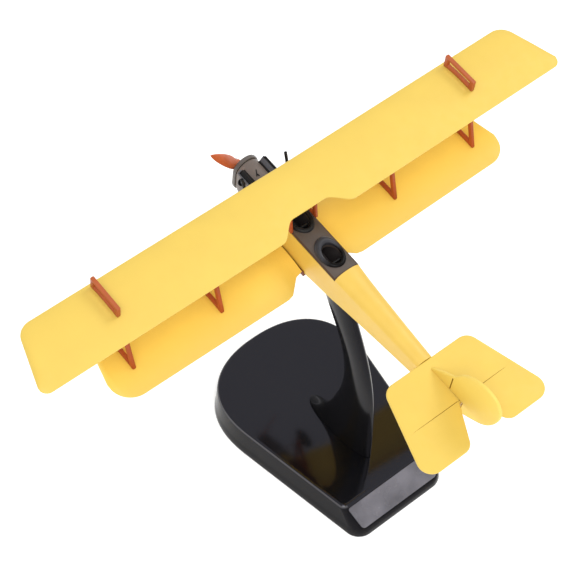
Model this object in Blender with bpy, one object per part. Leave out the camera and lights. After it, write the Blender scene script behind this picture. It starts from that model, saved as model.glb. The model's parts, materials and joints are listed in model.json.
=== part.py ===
"""Biplane scale model on a display stand.

The model flies nose up on a curved pylon that plugs into a D-shaped base. Lengths are in metres.
X runs along the wings (+X is the pilot's left), -Y is towards the nose and +Z is up.
Aircraft shapes are drawn level, with y counted aft of the upper wing's leading edge and z counted
up from the belly, and an empty then tilts them. Stand shapes count y from the same leading edge.
"""
import math
import bpy
import bmesh
import numpy as np
from mathutils import Matrix, Vector

MM = 0.001

# Placement
DATUM_Y = -29.25 * MM          # upper wing's leading edge, from the middle of the whole object
AIRCRAFT_HEIGHT = 61.8 * MM    # belly below the leading edge, above the table
NOSE_UP = math.radians(7.1)
FIT = 0.06 * MM                # clearance between glued pieces

# Wings
CHORD_PLANE = 16.0 * MM
UPPER_CHORD = 14.8 * MM
UPPER_SPAN_LE = 61.5 * MM      # half span where the leading edge meets the tip
UPPER_SPAN_TE = 66.2 * MM
UPPER_DIHEDRAL = math.radians(0.75)
CUTOUT_DEPTH = 3.5 * MM        # notch in the trailing edge above the cockpits
CUTOUT_INNER = 4.0 * MM
CUTOUT_OUTER = 9.2 * MM
LOWER_PLANE = 0.47 * MM
LOWER_CHORD = 14.6 * MM
STAGGER = 4.5 * MM             # lower wing aft of the upper one
LOWER_SPAN_LE = 48.55 * MM
LOWER_SPAN_TE = 52.0 * MM
LOWER_DIHEDRAL = math.radians(1.45)
LOWER_ROOT = 3.5 * MM
WING_THICKNESS = 1.05 * MM
WING_CAMBER = 0.45 * MM

# Struts
STRUT_STATIONS = {"inner": 22.8 * MM, "outer": 44.5 * MM}
STRUT_FRONT = 1.3 * MM
STRUT_REAR = 9.6 * MM
STRUT_WIDTH = 1.1 * MM
STRUT_THICKNESS = 0.9 * MM
KING_POST_STATION = 44.9 * MM
KING_POST_HEIGHT = 3.9 * MM
RAIL_DEPTH = 0.9 * MM
KING_POST_FRONT = 0.8 * MM
KING_POST_RAIL = 0.75 * MM
CABANE_STATION = 3.2 * MM
CABANE_THICKNESS = 0.7 * MM
CABANE_STAGGER = 1.3 * MM
CABANE_RAIL = 0.6 * MM

# Fuselage
DECK_FRONT = 2.05 * MM
DECK_REAR = 24.2 * MM
DECK_HALF_WIDTH = 3.15 * MM
DECK_EDGE = 8.85 * MM
DECK_RIDGE = 9.5 * MM
BODY_TOP = 8.6 * MM            # ledge that carries the deck
TAIL_SEAT = 7.62 * MM          # ledge that carries the tailplane
STERN = 59.25 * MM
FRONT_COCKPIT = (9.2 * MM, 1.75 * MM, 2.75 * MM)    # centre y, half width, half length
REAR_COCKPIT = (19.45 * MM, 1.8 * MM, 2.4 * MM)
TUB_CENTRE = (0.0, 13.3 * MM, 6.2 * MM)
TUB_SIZE = (5.0 * MM, 19.4 * MM, 10.0 * MM)
SEAT_BACK = 1.75 * MM          # back of a seat, aft of its cockpit's centre
SEAT_LENGTH = 3.2 * MM
SEAT_HALF_WIDTH = 1.1 * MM
SEAT_BOTTOM = 3.6 * MM
SEAT_TOP = 9.1 * MM
SEAT_PAN = 0.7 * MM            # thickness of the pan
SEAT_SHEET = 0.5 * MM          # thickness of the back

# Nose
THRUST_LINE = 5.2 * MM
RADIATOR_FRONT = -8.9 * MM
RADIATOR_REAR = -7.9 * MM
RADIATOR_LIP = 0.3 * MM
RADIATOR_WALL = 0.65 * MM
CORE_RECESS = 0.4 * MM
COWLING_REAR = 1.95 * MM
BANK_SIZE = (0.9 * MM, 6.9 * MM, 1.9 * MM)
BANK_LEAN = math.radians(42)
BANK_CENTRE = (2.7 * MM, -3.1 * MM, 9.74 * MM)
BANK_GAP = 0.1 * MM            # clearance round a bank in the cowling
EXHAUST_RADIUS = 0.33 * MM
PROPELLER_Y = -10.5 * MM
PROPELLER_ANGLE = math.radians(52.6)   # blade on the pilot's left, above the horizontal
PROPELLER_RADIUS = 12.8 * MM
BOSS_RADIUS = 1.15 * MM
BOSS_HALF_LENGTH = 0.85 * MM
BLADE_PITCH = 58               # degrees at the root, less 3.2 for each millimetre outwards
SHAFT_RADIUS = 0.35 * MM
SHAFT_FRONT = -12.1 * MM
SHAFT_REAR = -3.1 * MM
NUT_RADIUS = 0.75 * MM
BORE_RADIUS = 0.42 * MM
CORE_HOLE_RADIUS = 0.62 * MM

# Undercarriage
AXLE_Y = 4.6 * MM
AXLE_Z = -8.6 * MM
AXLE_RADIUS = 0.35 * MM
WHEEL_X = 7.55 * MM
WHEEL_RADIUS = 3.3 * MM
TYRE_HALF_WIDTH = 0.65 * MM
RIM_DEPTH = 0.75 * MM          # from the wheel's rim to the tread
HUB_HALF_WIDTH = 0.7 * MM
AXLE_END = 8.75 * MM
AXLE_HEAD_RADIUS = 0.62 * MM
AXLE_HEAD_LENGTH = 0.35 * MM
AXLE_CLEARANCE = 0.05 * MM
PLATE_FRONT = 5.2 * MM
PLATE_REAR = 15.9 * MM
PLATE_BOTTOM = -0.78 * MM
LEG_FOOT_X = 2.6 * MM          # inner face of a leg where it meets the plate
LEG_THICKNESS = 0.75 * MM
LEG_SPLAY = 0.30

# Tail
TAIL_TOP = 8.42 * MM
TAIL_THICKNESS = 0.74 * MM
TAIL_LEAD = 48.4 * MM
TAIL_TRAIL = 67.8 * MM
TAIL_SPAN_LE = 10.75 * MM
TAIL_SPAN_TE = 16.75 * MM
FIN_THICKNESS = 0.7 * MM
SKID_RADIUS = 0.32 * MM

# Stand
BASE_HEIGHT = 8.0 * MM
BASE_FRONT = -7.5 * MM
BASE_SHOULDER = 14.0 * MM      # where the round front meets the straight sides
BASE_HALF_WIDTH = 18.35 * MM   # at the shoulder
BASE_ROUNDNESS = 2.25          # power of the front's curve: 2 is an ellipse, more is squarer
BASE_TAPER = math.radians(9.8)
BASE_REAR = 46.9 * MM
BOSS_CENTRE_Z = 4.2 * MM
BOSS_SIZE = (6.4 * MM, 12.0 * MM, 5.2 * MM)
PLATE_SLOPE = math.radians(43.2)
PLATE_CENTRE = (44.1 * MM, 5.05 * MM)     # y and z of the middle of the sloping rear face
NAMEPLATE_TOP = 11.8 * MM       # half widths of its top and bottom edges
NAMEPLATE_FOOT = 10.8 * MM
NAMEPLATE_LENGTH = 6.0 * MM
NAMEPLATE_DEPTH = 0.45 * MM
TENON = (26.0 * MM, 1.5 * MM, 4.0 * MM)   # centre y, half width, half length
TENON_BOTTOM = 3.6 * MM
PEG = (24.9 * MM, 0.6 * MM, 1.1 * MM)
PEG_TOP = 61.9 * MM
PEG_CLEARANCE = 0.1 * MM
SCREW_RADIUS = 0.55 * MM
SCREW_HEAD_RADIUS = 1.5 * MM
SCREW_HEAD = (0.55 * MM, 1.5 * MM)        # bottom and top of the head
SCREW_TOP = 6.2 * MM

# Finishes: colour, roughness and metallic value
YELLOW = ((0.95, 0.62, 0.11), 0.45, 0.0)
ORANGE = ((0.52, 0.11, 0.03), 0.4, 0.0)
TAUPE = ((0.16, 0.13, 0.11), 0.45, 0.0)
DARK = ((0.03, 0.03, 0.035), 0.4, 0.0)
RUBBER_BLACK = ((0.02, 0.022, 0.028), 0.55, 0.0)
STEEL = ((0.5, 0.5, 0.5), 0.3, 1.0)
GLOSS_BLACK = ((0.012, 0.012, 0.014), 0.12, 0.0)
SATIN_GREY = ((0.12, 0.12, 0.13), 0.2, 0.0)


# ---------------------------------------------------------------- scene helpers

def clear_scene():
    for item in list(bpy.data.objects):
        bpy.data.objects.remove(item, do_unlink=True)


def make_empty(name, location, tilt=0.0):
    empty = bpy.data.objects.new(name, None)
    empty.location = location
    empty.rotation_euler = (-tilt, 0.0, 0.0)
    bpy.context.scene.collection.objects.link(empty)
    return empty


def make_material(name, finish):
    colour, roughness, metallic = finish
    material = bpy.data.materials.new(name)
    material.use_nodes = True
    shader = material.node_tree.nodes["Principled BSDF"]
    shader.inputs["Base Color"].default_value = (*colour, 1.0)
    shader.inputs["Roughness"].default_value = roughness
    shader.inputs["Metallic"].default_value = metallic
    material.diffuse_color = (*colour, 1.0)
    return material


def make_object(name, verts, faces, parent, finish=None, origin=(0.0, 0.0, 0.0)):
    """Link one closed mesh with outward faces. Its origin is put at the given point."""
    start = Vector(origin)
    mesh = bpy.data.meshes.new(name)
    mesh.from_pydata([Vector(v) - start for v in verts], [], faces)
    work = bmesh.new()
    work.from_mesh(mesh)
    bmesh.ops.recalc_face_normals(work, faces=work.faces)
    work.to_mesh(mesh)
    work.free()
    mesh.shade_smooth()
    mesh.set_sharp_from_angle(angle=math.radians(35))
    item = bpy.data.objects.new(name, mesh)
    item.parent = parent
    item.location = start
    bpy.context.scene.collection.objects.link(item)
    if finish:
        mesh.materials.append(make_material(name, finish))
    return item


def make_cutter(name, verts, faces, parent):
    cutter = make_object(name, verts, faces, parent)
    cutter.hide_render = True
    cutter.display_type = "WIRE"
    return cutter


def boolean(item, cutter, operation="DIFFERENCE"):
    modifier = item.modifiers.new(cutter.name, "BOOLEAN")
    modifier.operation = operation
    modifier.object = cutter
    modifier.solver = "EXACT"


# ---------------------------------------------------------------- shape helpers

def loft(rings, hollow=False):
    """Skin rings of equal length. A hollow loft joins the last ring to the first."""
    count = len(rings[0])
    verts = [point for ring in rings for point in ring]
    faces = []
    spans = len(rings) if hollow else len(rings) - 1
    for i in range(spans):
        start = i * count
        after = ((i + 1) % len(rings)) * count
        for j in range(count):
            k = (j + 1) % count
            faces.append((start + j, start + k, after + k, after + j))
    if not hollow:
        faces.append(tuple(range(count)))
        faces.append(tuple(range((len(rings) - 1) * count, len(rings) * count)))
    return verts, faces


def circle(radius, sides, place):
    """Points of a circle, each mapped into space by place(u, v)."""
    angles = [2 * math.pi * i / sides for i in range(sides)]
    return [place(radius * math.cos(a), radius * math.sin(a)) for a in angles]


def corner_arc(before, corner, after, radius, steps=5):
    """Points of the arc that rounds one corner of a flat outline."""
    p, q, r = (Vector(v) for v in (before, corner, after))
    to_p = (p - q).normalized()
    to_r = (r - q).normalized()
    half = to_p.angle(to_r) / 2
    centre = q + (to_p + to_r).normalized() * (radius / math.sin(half))
    start = q + to_p * (radius / math.tan(half)) - centre
    end = q + to_r * (radius / math.tan(half)) - centre
    sweep = start.angle(end)
    points = []
    for i in range(steps):
        t = i / (steps - 1)
        a = math.sin((1 - t) * sweep) / math.sin(sweep)
        b = math.sin(t * sweep) / math.sin(sweep)
        points.append(tuple(centre + start * a + end * b))
    return points


def inset(outline, distance):
    """Move every side of a flat outline inwards, for an outline that runs anticlockwise."""
    moved = []
    count = len(outline)
    for i in range(count):
        p, q, r = (Vector(outline[(i + k) % count]) for k in (-1, 0, 1))
        a = (q - p).normalized()
        b = (r - q).normalized()
        normal = Vector((-a.y, a.x)) + Vector((-b.y, b.x))
        scale = max(normal.length_squared / 2, 0.4)
        moved.append(tuple(q + normal * (distance / scale)))
    return moved


def plate(outline, low, high, edge, place):
    """A flat plate with eased edges; place(u, v, w) maps the outline and the thickness."""
    levels = [(low, edge), (low + edge, 0.0), (high - edge, 0.0), (high, edge)]
    return loft([[place(u, v, w) for u, v in inset(outline, d)] for w, d in levels])


def turned(profile, sides, place, hollow=False):
    """Turn (radius, height) pairs; place(u, v, w) maps the circle and the height."""
    rings = [circle(r, sides, lambda u, v, w=h: place(u, v, w)) for r, h in profile]
    return loft(rings, hollow)


def tube(points, radius, sides=8):
    """A round bar along a bent line."""
    path = [Vector(p) for p in points]
    rings = []
    side = Vector((1.0, 0.0, 0.0))
    for i, point in enumerate(path):
        along = (path[min(i + 1, len(path) - 1)] - path[max(i - 1, 0)]).normalized()
        side = (side - along * side.dot(along)).normalized()
        other = along.cross(side)
        rings.append(circle(radius, sides, lambda u, v: tuple(point + side * u + other * v)))
    return loft(rings)


def box(centre, size):
    x, y, z = (s / 2 for s in size)
    rings = []
    for h in (-z, z):
        corners = ((-x, -y), (x, -y), (x, y), (-x, y))
        rings.append([(centre[0] + u, centre[1] + v, centre[2] + h) for u, v in corners])
    return loft(rings)


def smooth_step(value):
    t = min(max(value, 0.0), 1.0)
    return t * t * (3 - 2 * t)


# ---------------------------------------------------------------- wings

def half_thickness(s, scale):
    poly = 0.2969 * math.sqrt(s) - 0.126 * s - 0.3516 * s**2 + 0.2843 * s**3 - 0.1015 * s**4
    return (5 * WING_THICKNESS * poly + 0.1 * MM * s) * scale


def camber(s, scale=1.0):
    return 4 * WING_CAMBER * s * (1 - s) * scale


def wing_section(x, lead, trail, plane, chord):
    """Closed aerofoil outline at one span station."""
    scale = min(1.0, 0.25 + 0.75 * (trail - lead) / chord * 1.6)
    steps = [0.0, 0.04, 0.13, 0.3, 0.5, 0.75, 1.0]
    top = [(s, camber(s, scale) + half_thickness(s, scale)) for s in steps]
    low = [(s, camber(s, scale) - half_thickness(s, scale)) for s in reversed(steps[1:])]
    return [(x, lead + s * (trail - lead), plane + h) for s, h in top + low]


def tip_edges(span_le, span_te, lead, trail, radius_le, radius_te):
    """Rounded tip outline, split into its leading and trailing halves at the widest point."""
    front = corner_arc((0, lead), (span_le, lead), (span_te, trail), radius_le, 6)
    back = corner_arc((span_le, lead), (span_te, trail), (0, trail), radius_te, 9)
    widest = max(range(len(back)), key=lambda i: back[i][0])
    leading = front + back[:widest + 1]
    trailing = list(reversed(back[widest:]))
    return leading, trailing


def edge_at(edge, x):
    return float(np.interp(x, [p[0] for p in edge], [p[1] for p in edge]))


UPPER_LEAD, UPPER_TRAIL = tip_edges(UPPER_SPAN_LE, UPPER_SPAN_TE, 0.0, UPPER_CHORD, 3.7 * MM, 1.8 * MM)
LOWER_LEAD, LOWER_TRAIL = tip_edges(
    LOWER_SPAN_LE, LOWER_SPAN_TE, STAGGER, STAGGER + LOWER_CHORD, 2.0 * MM, 5.0 * MM)


def tip_stations(leading, trailing):
    """Span stations through the rounded part of a tip, short of its last sliver."""
    widest = leading[-1][0]
    stations = sorted({round(p[0], 6) for p in leading + trailing})
    return [x for x in stations if x < widest - 0.05 * MM] + [widest - 0.04 * MM]


def upper_plane(x):
    return CHORD_PLANE + abs(x) * math.tan(UPPER_DIHEDRAL)


def lower_plane(x):
    return LOWER_PLANE + abs(x) * math.tan(LOWER_DIHEDRAL)


def upper_trail(x):
    notch = 1 - smooth_step((abs(x) - CUTOUT_INNER) / (CUTOUT_OUTER - CUTOUT_INNER))
    return edge_at(UPPER_TRAIL, abs(x)) - CUTOUT_DEPTH * notch


def lower_trail(x):
    """The root is cut away behind the fuselage joint."""
    root = [(0.0, 15.4), (3.5, 15.4), (5.2, 15.8), (8.4, 18.75), (9.8, 19.1)]
    cut = float(np.interp(abs(x), [p[0] * MM for p in root], [p[1] * MM for p in root]))
    return min(cut, edge_at(LOWER_TRAIL, abs(x)))


def upper_section(x):
    return wing_section(x, edge_at(UPPER_LEAD, abs(x)), upper_trail(x), upper_plane(x), UPPER_CHORD)


def lower_section(x):
    return wing_section(x, edge_at(LOWER_LEAD, abs(x)), lower_trail(x), lower_plane(x), LOWER_CHORD)


def surface(plane, lead, chord, x, y, side):
    """Height of a wing's upper (side 1) or lower (side -1) surface."""
    s = min(max((y - lead) / chord, 0.0), 1.0)
    return plane(x) + camber(s) + side * half_thickness(s, 1.0)


def upper_surface(x, y, side):
    return surface(upper_plane, 0.0, UPPER_CHORD, x, y, side)


def lower_surface(x, y, side):
    return surface(lower_plane, STAGGER, LOWER_CHORD, x, y, side)


def make_wings(parent):
    tip = tip_stations(UPPER_LEAD, UPPER_TRAIL)
    half = [k * MM for k in (2.0, 4.0, 5.0, 5.8, 6.6, 7.4, 8.3, 9.2, 24.0, 42.0)] + tip
    stations = [-x for x in reversed(half)] + [0.0] + half
    make_object("upper_wing", *loft([upper_section(x) for x in stations]), parent, YELLOW)
    roots = [k * MM for k in (5.2, 8.4, 9.8, 26.0)]
    for side, name in ((1, "lower_wing_left"), (-1, "lower_wing_right")):
        stations = [LOWER_ROOT] + roots + tip_stations(LOWER_LEAD, LOWER_TRAIL)
        rings = [lower_section(side * x) for x in stations]
        make_object(name, *loft(rings), parent, YELLOW)


# ---------------------------------------------------------------- strut frames

def strut_frame(x, front, rear, stagger, floor, roof, rail, thickness=STRUT_THICKNESS):
    """A flat closed frame of two legs and two rails, standing in a plane of constant x."""
    def leaning(y, z):
        low, high = floor(y + stagger), roof(y)
        return y + stagger * (high - z) / (high - low)

    steps = [0.0, 0.25, 0.5, 0.75, 1.0]
    loops = []
    for leg, depth in ((0.0, 0.0), (STRUT_WIDTH, rail)):
        a, b = front + leg, rear - leg
        ys = [a + (b - a) * t for t in steps]
        bottom = [(leaning(y, floor(y + stagger) + depth), floor(y + stagger) + depth) for y in ys]
        top = [(leaning(y, roof(y) - depth), roof(y) - depth) for y in reversed(ys)]
        loops.append(bottom + top)
    outer, inner = loops
    sides = (x - thickness / 2, x + thickness / 2)
    rings = [[(sides[0], y, z) for y, z in outer], [(sides[1], y, z) for y, z in outer],
             [(sides[1], y, z) for y, z in inner], [(sides[0], y, z) for y, z in inner]]
    return loft(rings, hollow=True)


def highest(surface_at, x):
    """Surface height that clears the whole thickness of a frame at x."""
    reach = STRUT_THICKNESS / 2
    return lambda y: max(surface_at(x - reach, y, 1), surface_at(x + reach, y, 1)) + FIT


def lowest(surface_at, x):
    reach = STRUT_THICKNESS / 2
    return lambda y: min(surface_at(x - reach, y, -1), surface_at(x + reach, y, -1)) - FIT


def make_struts(parent):
    for bay, station in STRUT_STATIONS.items():
        for side, hand in ((1, "left"), (-1, "right")):
            x = side * station
            frame = strut_frame(x, STRUT_FRONT, STRUT_REAR, STAGGER,
                                highest(lower_surface, x), lowest(upper_surface, x), RAIL_DEPTH)
            make_object(f"interplane_frame_{bay}_{hand}", *frame, parent, ORANGE)
    for side, hand in ((1, "left"), (-1, "right")):
        x = side * KING_POST_STATION
        top = upper_plane(x) + KING_POST_HEIGHT
        frame = strut_frame(x, KING_POST_FRONT, STRUT_REAR, 0.0,
                            highest(upper_surface, x), lambda y: top, KING_POST_RAIL)
        make_object(f"king_post_frame_{hand}", *frame, parent, ORANGE)
        x = side * CABANE_STATION
        foot = deck_height(CABANE_STATION - CABANE_THICKNESS / 2) + FIT
        frame = strut_frame(x, STRUT_FRONT, STRUT_REAR, CABANE_STAGGER,
                            lambda y: foot, lowest(upper_surface, x), CABANE_RAIL, CABANE_THICKNESS)
        make_object(f"cabane_frame_{hand}", *frame, parent, ORANGE)


# ---------------------------------------------------------------- fuselage

def body_ring(y, half_width, bottom, shoulder, ridge, ease=0.35 * MM):
    """Fuselage outline: flat belly with eased corners, upright sides and a rounded back."""
    side = []
    for degrees in (0, 30, 60, 90):
        a = math.radians(degrees)
        side.append((half_width - ease + ease * math.sin(a), bottom + ease - ease * math.cos(a)))
    side.append((half_width, shoulder))
    arc = []
    for degrees in (22, 45, 68):
        a = math.radians(degrees)
        arc.append((half_width * math.cos(a), shoulder + (ridge - shoulder) * math.sin(a)))
    half = side + arc
    other_half = [(-u, v) for u, v in reversed(half)]
    return [(u, y, v) for u, v in half + [(0.0, ridge)] + other_half]


def deck_height(x):
    return DECK_EDGE + (DECK_RIDGE - DECK_EDGE) * math.sqrt(max(0.0, 1 - (x / DECK_HALF_WIDTH) ** 2))


def ellipse_ring(cockpit, grow, height, sides=24):
    """Oval around a cockpit, with the height of each point given by height(x, y)."""
    centre, half_x, half_y = cockpit
    return circle(1.0, sides, lambda u, v: (
        u * (half_x + grow), centre + v * (half_y + grow),
        height(u * (half_x + grow), centre + v * (half_y + grow))))


def make_fuselage(parent, peg_cutter):
    stations = [(2.05, 3.2, 0.0, BODY_TOP / MM - 0.03, BODY_TOP / MM),
                (16.0, 3.2, 0.0, BODY_TOP / MM - 0.03, BODY_TOP / MM),
                (24.28, 3.1, 1.204, BODY_TOP / MM - 0.03, BODY_TOP / MM),
                (24.32, 3.1, 1.21, 8.9, 10.1),
                (27.0, 2.95, 1.6, 8.87, 9.95),
                (36.0, 2.5, 2.55, 8.7, 9.4),
                (48.0, 1.95, 3.65, 8.3, 8.5),
                (48.05, 1.95, 3.65, TAIL_SEAT / MM - 0.03, TAIL_SEAT / MM),
                (STERN / MM, 0.5, 4.75, TAIL_SEAT / MM - 0.03, TAIL_SEAT / MM)]
    rings = [body_ring(*(value * MM for value in row)) for row in stations]
    body = make_object("fuselage_body", *loft(rings), parent, YELLOW)
    boolean(body, make_cutter("cut_cockpit_tub", *box(TUB_CENTRE, TUB_SIZE), parent))
    boolean(body, peg_cutter)

    rings = [body_ring(y, DECK_HALF_WIDTH, BODY_TOP + FIT, DECK_EDGE, DECK_RIDGE, 0.05 * MM)
             for y in (DECK_FRONT, DECK_REAR)]
    deck = make_object("cockpit_deck", *loft(rings), parent, TAUPE)
    for cockpit, hand in ((FRONT_COCKPIT, "front"), (REAR_COCKPIT, "rear")):
        cut = loft([ellipse_ring(cockpit, 0.1 * MM, lambda x, y, z=z: z)
                    for z in (8.0 * MM, 10.5 * MM)])
        boolean(deck, make_cutter(f"cut_{hand}_cockpit", *cut, parent))
        make_coaming(f"{hand}_cockpit_coaming", cockpit, parent)
        make_seat(f"{hand}_seat", cockpit[0], parent)


def make_coaming(name, cockpit, parent):
    """Padded rim, broad and high in front of the crew member and low behind."""
    centre, half_x, half_y = cockpit

    def seat(x, y):
        return deck_height(x) + FIT

    def crest(x, y):
        forward = smooth_step((centre + 0.6 * MM - y) / (2 * half_y))
        return deck_height(0.0) + (0.45 + 0.9 * forward) * MM

    inner = ellipse_ring(cockpit, 0.0, seat)
    outer_shape = (centre - 0.5 * MM, half_x, half_y + 0.45 * MM)
    rings = [ellipse_ring(outer_shape, 0.95 * MM, seat), ellipse_ring(outer_shape, 0.6 * MM, crest),
             ellipse_ring(cockpit, 0.12 * MM, crest), inner]
    make_object(name, *loft(rings, hollow=True), parent, RUBBER_BLACK)


def make_seat(name, y, parent):
    """Bucket seat: a pan and a back in one bent sheet."""
    back = y + SEAT_BACK
    front = back - SEAT_LENGTH
    pan = SEAT_BOTTOM + SEAT_PAN
    side = [(front, SEAT_BOTTOM), (back, SEAT_BOTTOM), (back, SEAT_TOP),
            (back - SEAT_SHEET, SEAT_TOP), (back - SEAT_SHEET, pan), (front, pan)]
    rings = [[(x, u, v) for u, v in side] for x in (-SEAT_HALF_WIDTH, SEAT_HALF_WIDTH)]
    make_object(name, *loft(rings), parent, DARK)


# ---------------------------------------------------------------- nose

def along_y(u, v, w):
    return (u, w, v)


def nose_ring(y, inset_by=0.0):
    """Outline of the radiator: a round bottom, upright sides and a rounded top."""
    return body_ring(y, 3.0 * MM - inset_by, 0.5 * MM + inset_by, 7.0 * MM, 10.2 * MM - inset_by,
                     2.8 * MM - inset_by)


def make_nose(parent):
    rings = [body_ring(*(value * MM for value in row)) for row in (
        (-7.8, 2.75, 0.95, 7.0, 9.8, 2.5), (-7.0, 2.9, 0.6, 7.1, 10.0, 2.4),
        (-3.0, 3.15, 0.1, 7.8, 9.95, 1.3), (COWLING_REAR / MM, 3.2, 0.0, 8.85, 9.5, 0.35))]
    cowling = make_object("engine_cowling", *loft(rings), parent, TAUPE)
    bore = turned([(BORE_RADIUS, -8.5 * MM), (BORE_RADIUS, -2.8 * MM)], 12,
                  lambda u, v, w: (u, w, THRUST_LINE + v))
    boolean(cowling, make_cutter("cut_shaft_bore", *bore, parent))

    lip, wall = RADIATOR_LIP, RADIATOR_WALL
    rings = [nose_ring(RADIATOR_REAR), nose_ring(RADIATOR_FRONT + lip), nose_ring(RADIATOR_FRONT, lip),
             nose_ring(RADIATOR_FRONT, wall), nose_ring(RADIATOR_REAR, wall)]
    make_object("radiator_shell", *loft(rings, hollow=True), parent, TAUPE)
    outlines = [nose_ring(y, wall + FIT) for y in (RADIATOR_REAR, RADIATOR_FRONT + CORE_RECESS)]
    holes = [[hub_point(p, CORE_HOLE_RADIUS) for p in ring] for ring in reversed(outlines)]
    make_object("radiator_core", *loft(outlines + holes, hollow=True), parent, DARK)

    for side, hand in ((1, "left"), (-1, "right")):
        make_object(f"cylinder_bank_{hand}", *bank_block(side, 0.0), parent, DARK)
        seat = make_cutter(f"cut_bank_seat_{hand}", *bank_block(side, BANK_GAP), parent)
        boolean(cowling, seat)
        points = [(3.5, -1.2, 8.0), (4.4, -1.3, 8.5), (5.1, -1.5, 9.8), (5.45, -1.9, 11.5),
                  (5.6, -2.9, 14.1)]
        pipe = tube([(side * x * MM, y * MM, z * MM) for x, y, z in points], EXHAUST_RADIUS)
        make_object(f"exhaust_stack_{hand}", *pipe, parent, DARK)


def hub_point(point, radius):
    """The point on the shaft hole's edge that faces a point of the outline."""
    away = Vector((point[0], point[2] - THRUST_LINE)).normalized() * radius
    return (away.x, point[1], THRUST_LINE + away.y)


def bank_block(side, grow):
    """A row of cylinders in one block, leaning outwards and let into the cowling's shoulder."""
    verts, faces = box((0, 0, 0), [length + 2 * grow for length in BANK_SIZE])
    lean = Matrix.Rotation(side * BANK_LEAN, 4, "Y")
    x, y, z = BANK_CENTRE
    centre = Vector((side * x, y, z))
    return [tuple(centre + lean @ Vector(v)) for v in verts], faces


def make_propeller(parent):
    hub = (0.0, PROPELLER_Y, THRUST_LINE)
    verts, faces = propeller_shape()
    make_object("propeller", verts, faces, parent, ORANGE, origin=hub)

    def place(u, v, w):
        return (u, w, THRUST_LINE + v)

    shaft = turned([(SHAFT_RADIUS, SHAFT_FRONT), (SHAFT_RADIUS, SHAFT_REAR)], 12, place)
    make_object("propeller_shaft", *shaft, parent, STEEL, origin=hub)
    bore = SHAFT_RADIUS + 0.03 * MM
    back = PROPELLER_Y - BOSS_HALF_LENGTH - 0.07 * MM
    profile = [(bore, back), (NUT_RADIUS, back), (NUT_RADIUS, back - 0.33 * MM),
               (NUT_RADIUS - 0.2 * MM, back - 0.58 * MM), (bore, back - 0.58 * MM)]
    make_object("propeller_nut", *turned(profile, 12, place, hollow=True), parent, STEEL, origin=hub)


def blade_ring(side, reach, half_chord, half_depth):
    """Section of a blade at one distance from the hub, in millimetres, turned by its pitch."""
    pitch = math.radians(3.2 * reach - BLADE_PITCH) * side
    c, d = math.cos(pitch), math.sin(pitch)

    def place(u, v):
        chord, depth = u * half_chord * MM, v * half_depth * MM
        return (side * reach * MM, chord * d * side + depth * c, chord * c - depth * d * side)

    return circle(1.0, 12, place)


def propeller_shape():
    """Two leaf-shaped blades that meet in a bored boss, as one closed skin."""
    blade = [(1.05, 1.0, 0.75), (1.6, 1.15, 0.55), (3.0, 1.38, 0.36), (5.0, 1.36, 0.28),
             (7.0, 1.2, 0.22), (9.0, 0.95, 0.18), (11.0, 0.6, 0.14), (12.2, 0.28, 0.1),
             (PROPELLER_RADIUS / MM, 0.08, 0.06)]
    turn = Matrix.Rotation(-PROPELLER_ANGLE, 4, "Y")
    hub = Vector((0.0, PROPELLER_Y, THRUST_LINE))
    bore, end = SHAFT_RADIUS + 0.03 * MM, BOSS_HALF_LENGTH
    profile = [(bore, -end), (BOSS_RADIUS, -end), (BOSS_RADIUS, end), (bore, end)]
    solids = [turned(profile, 16, along_y, hollow=True)]
    for side in (1, -1):
        solids.append(loft([blade_ring(side, *row) for row in blade]))
    verts, faces = merge_solids(solids)
    return [tuple(hub + turn @ Vector(v)) for v in verts], faces


def merge_solids(solids):
    """Union overlapping solids into one skin."""
    pieces = []
    for i, (verts, faces) in enumerate(solids):
        piece = make_object(f"piece_{i}", verts, faces, None)
        pieces.append(piece)
    for cutter in pieces[1:]:
        boolean(pieces[0], cutter, "UNION")
    evaluated = pieces[0].evaluated_get(bpy.context.evaluated_depsgraph_get())
    mesh = evaluated.to_mesh()
    verts = [tuple(v.co) for v in mesh.vertices]
    faces = [tuple(p.vertices) for p in mesh.polygons]
    evaluated.to_mesh_clear()
    for piece in pieces:
        bpy.data.objects.remove(piece, do_unlink=True)
    return verts, faces


# ---------------------------------------------------------------- undercarriage

def make_undercarriage(parent):
    inner, outer, lip = 3.26 * MM, 3.42 * MM, 0.85 * MM
    shape = [(-outer, PLATE_BOTTOM), (outer, PLATE_BOTTOM), (outer, lip), (inner, lip), (inner, -FIT),
             (-inner, -FIT), (-inner, lip), (-outer, lip)]
    rings = [[(u, y, v) for u, v in shape] for y in (PLATE_FRONT, PLATE_REAR)]
    make_object("undercarriage_plate", *loft(rings), parent, ORANGE)

    def place(u, v, w):
        return (w, AXLE_Y + u, AXLE_Z + v)

    bore = AXLE_RADIUS + AXLE_CLEARANCE
    hole = turned([(bore, -9 * MM), (bore, 9 * MM)], 12, place)
    cutter = make_cutter("cut_axle_bore", *hole, parent)
    for side, hand in ((1, "left"), (-1, "right")):
        leg = make_object(f"undercarriage_leg_{hand}", *leg_frame(side), parent, ORANGE)
        boolean(leg, cutter)
        make_wheel(side, hand, parent)
    neck = AXLE_END - AXLE_HEAD_LENGTH
    half = [(AXLE_RADIUS, neck), (AXLE_HEAD_RADIUS, neck), (AXLE_HEAD_RADIUS, AXLE_END)]
    profile = [(r, -h) for r, h in reversed(half)] + half
    make_object("wheel_axle", *turned(profile, 12, place), parent, STEEL)


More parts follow.
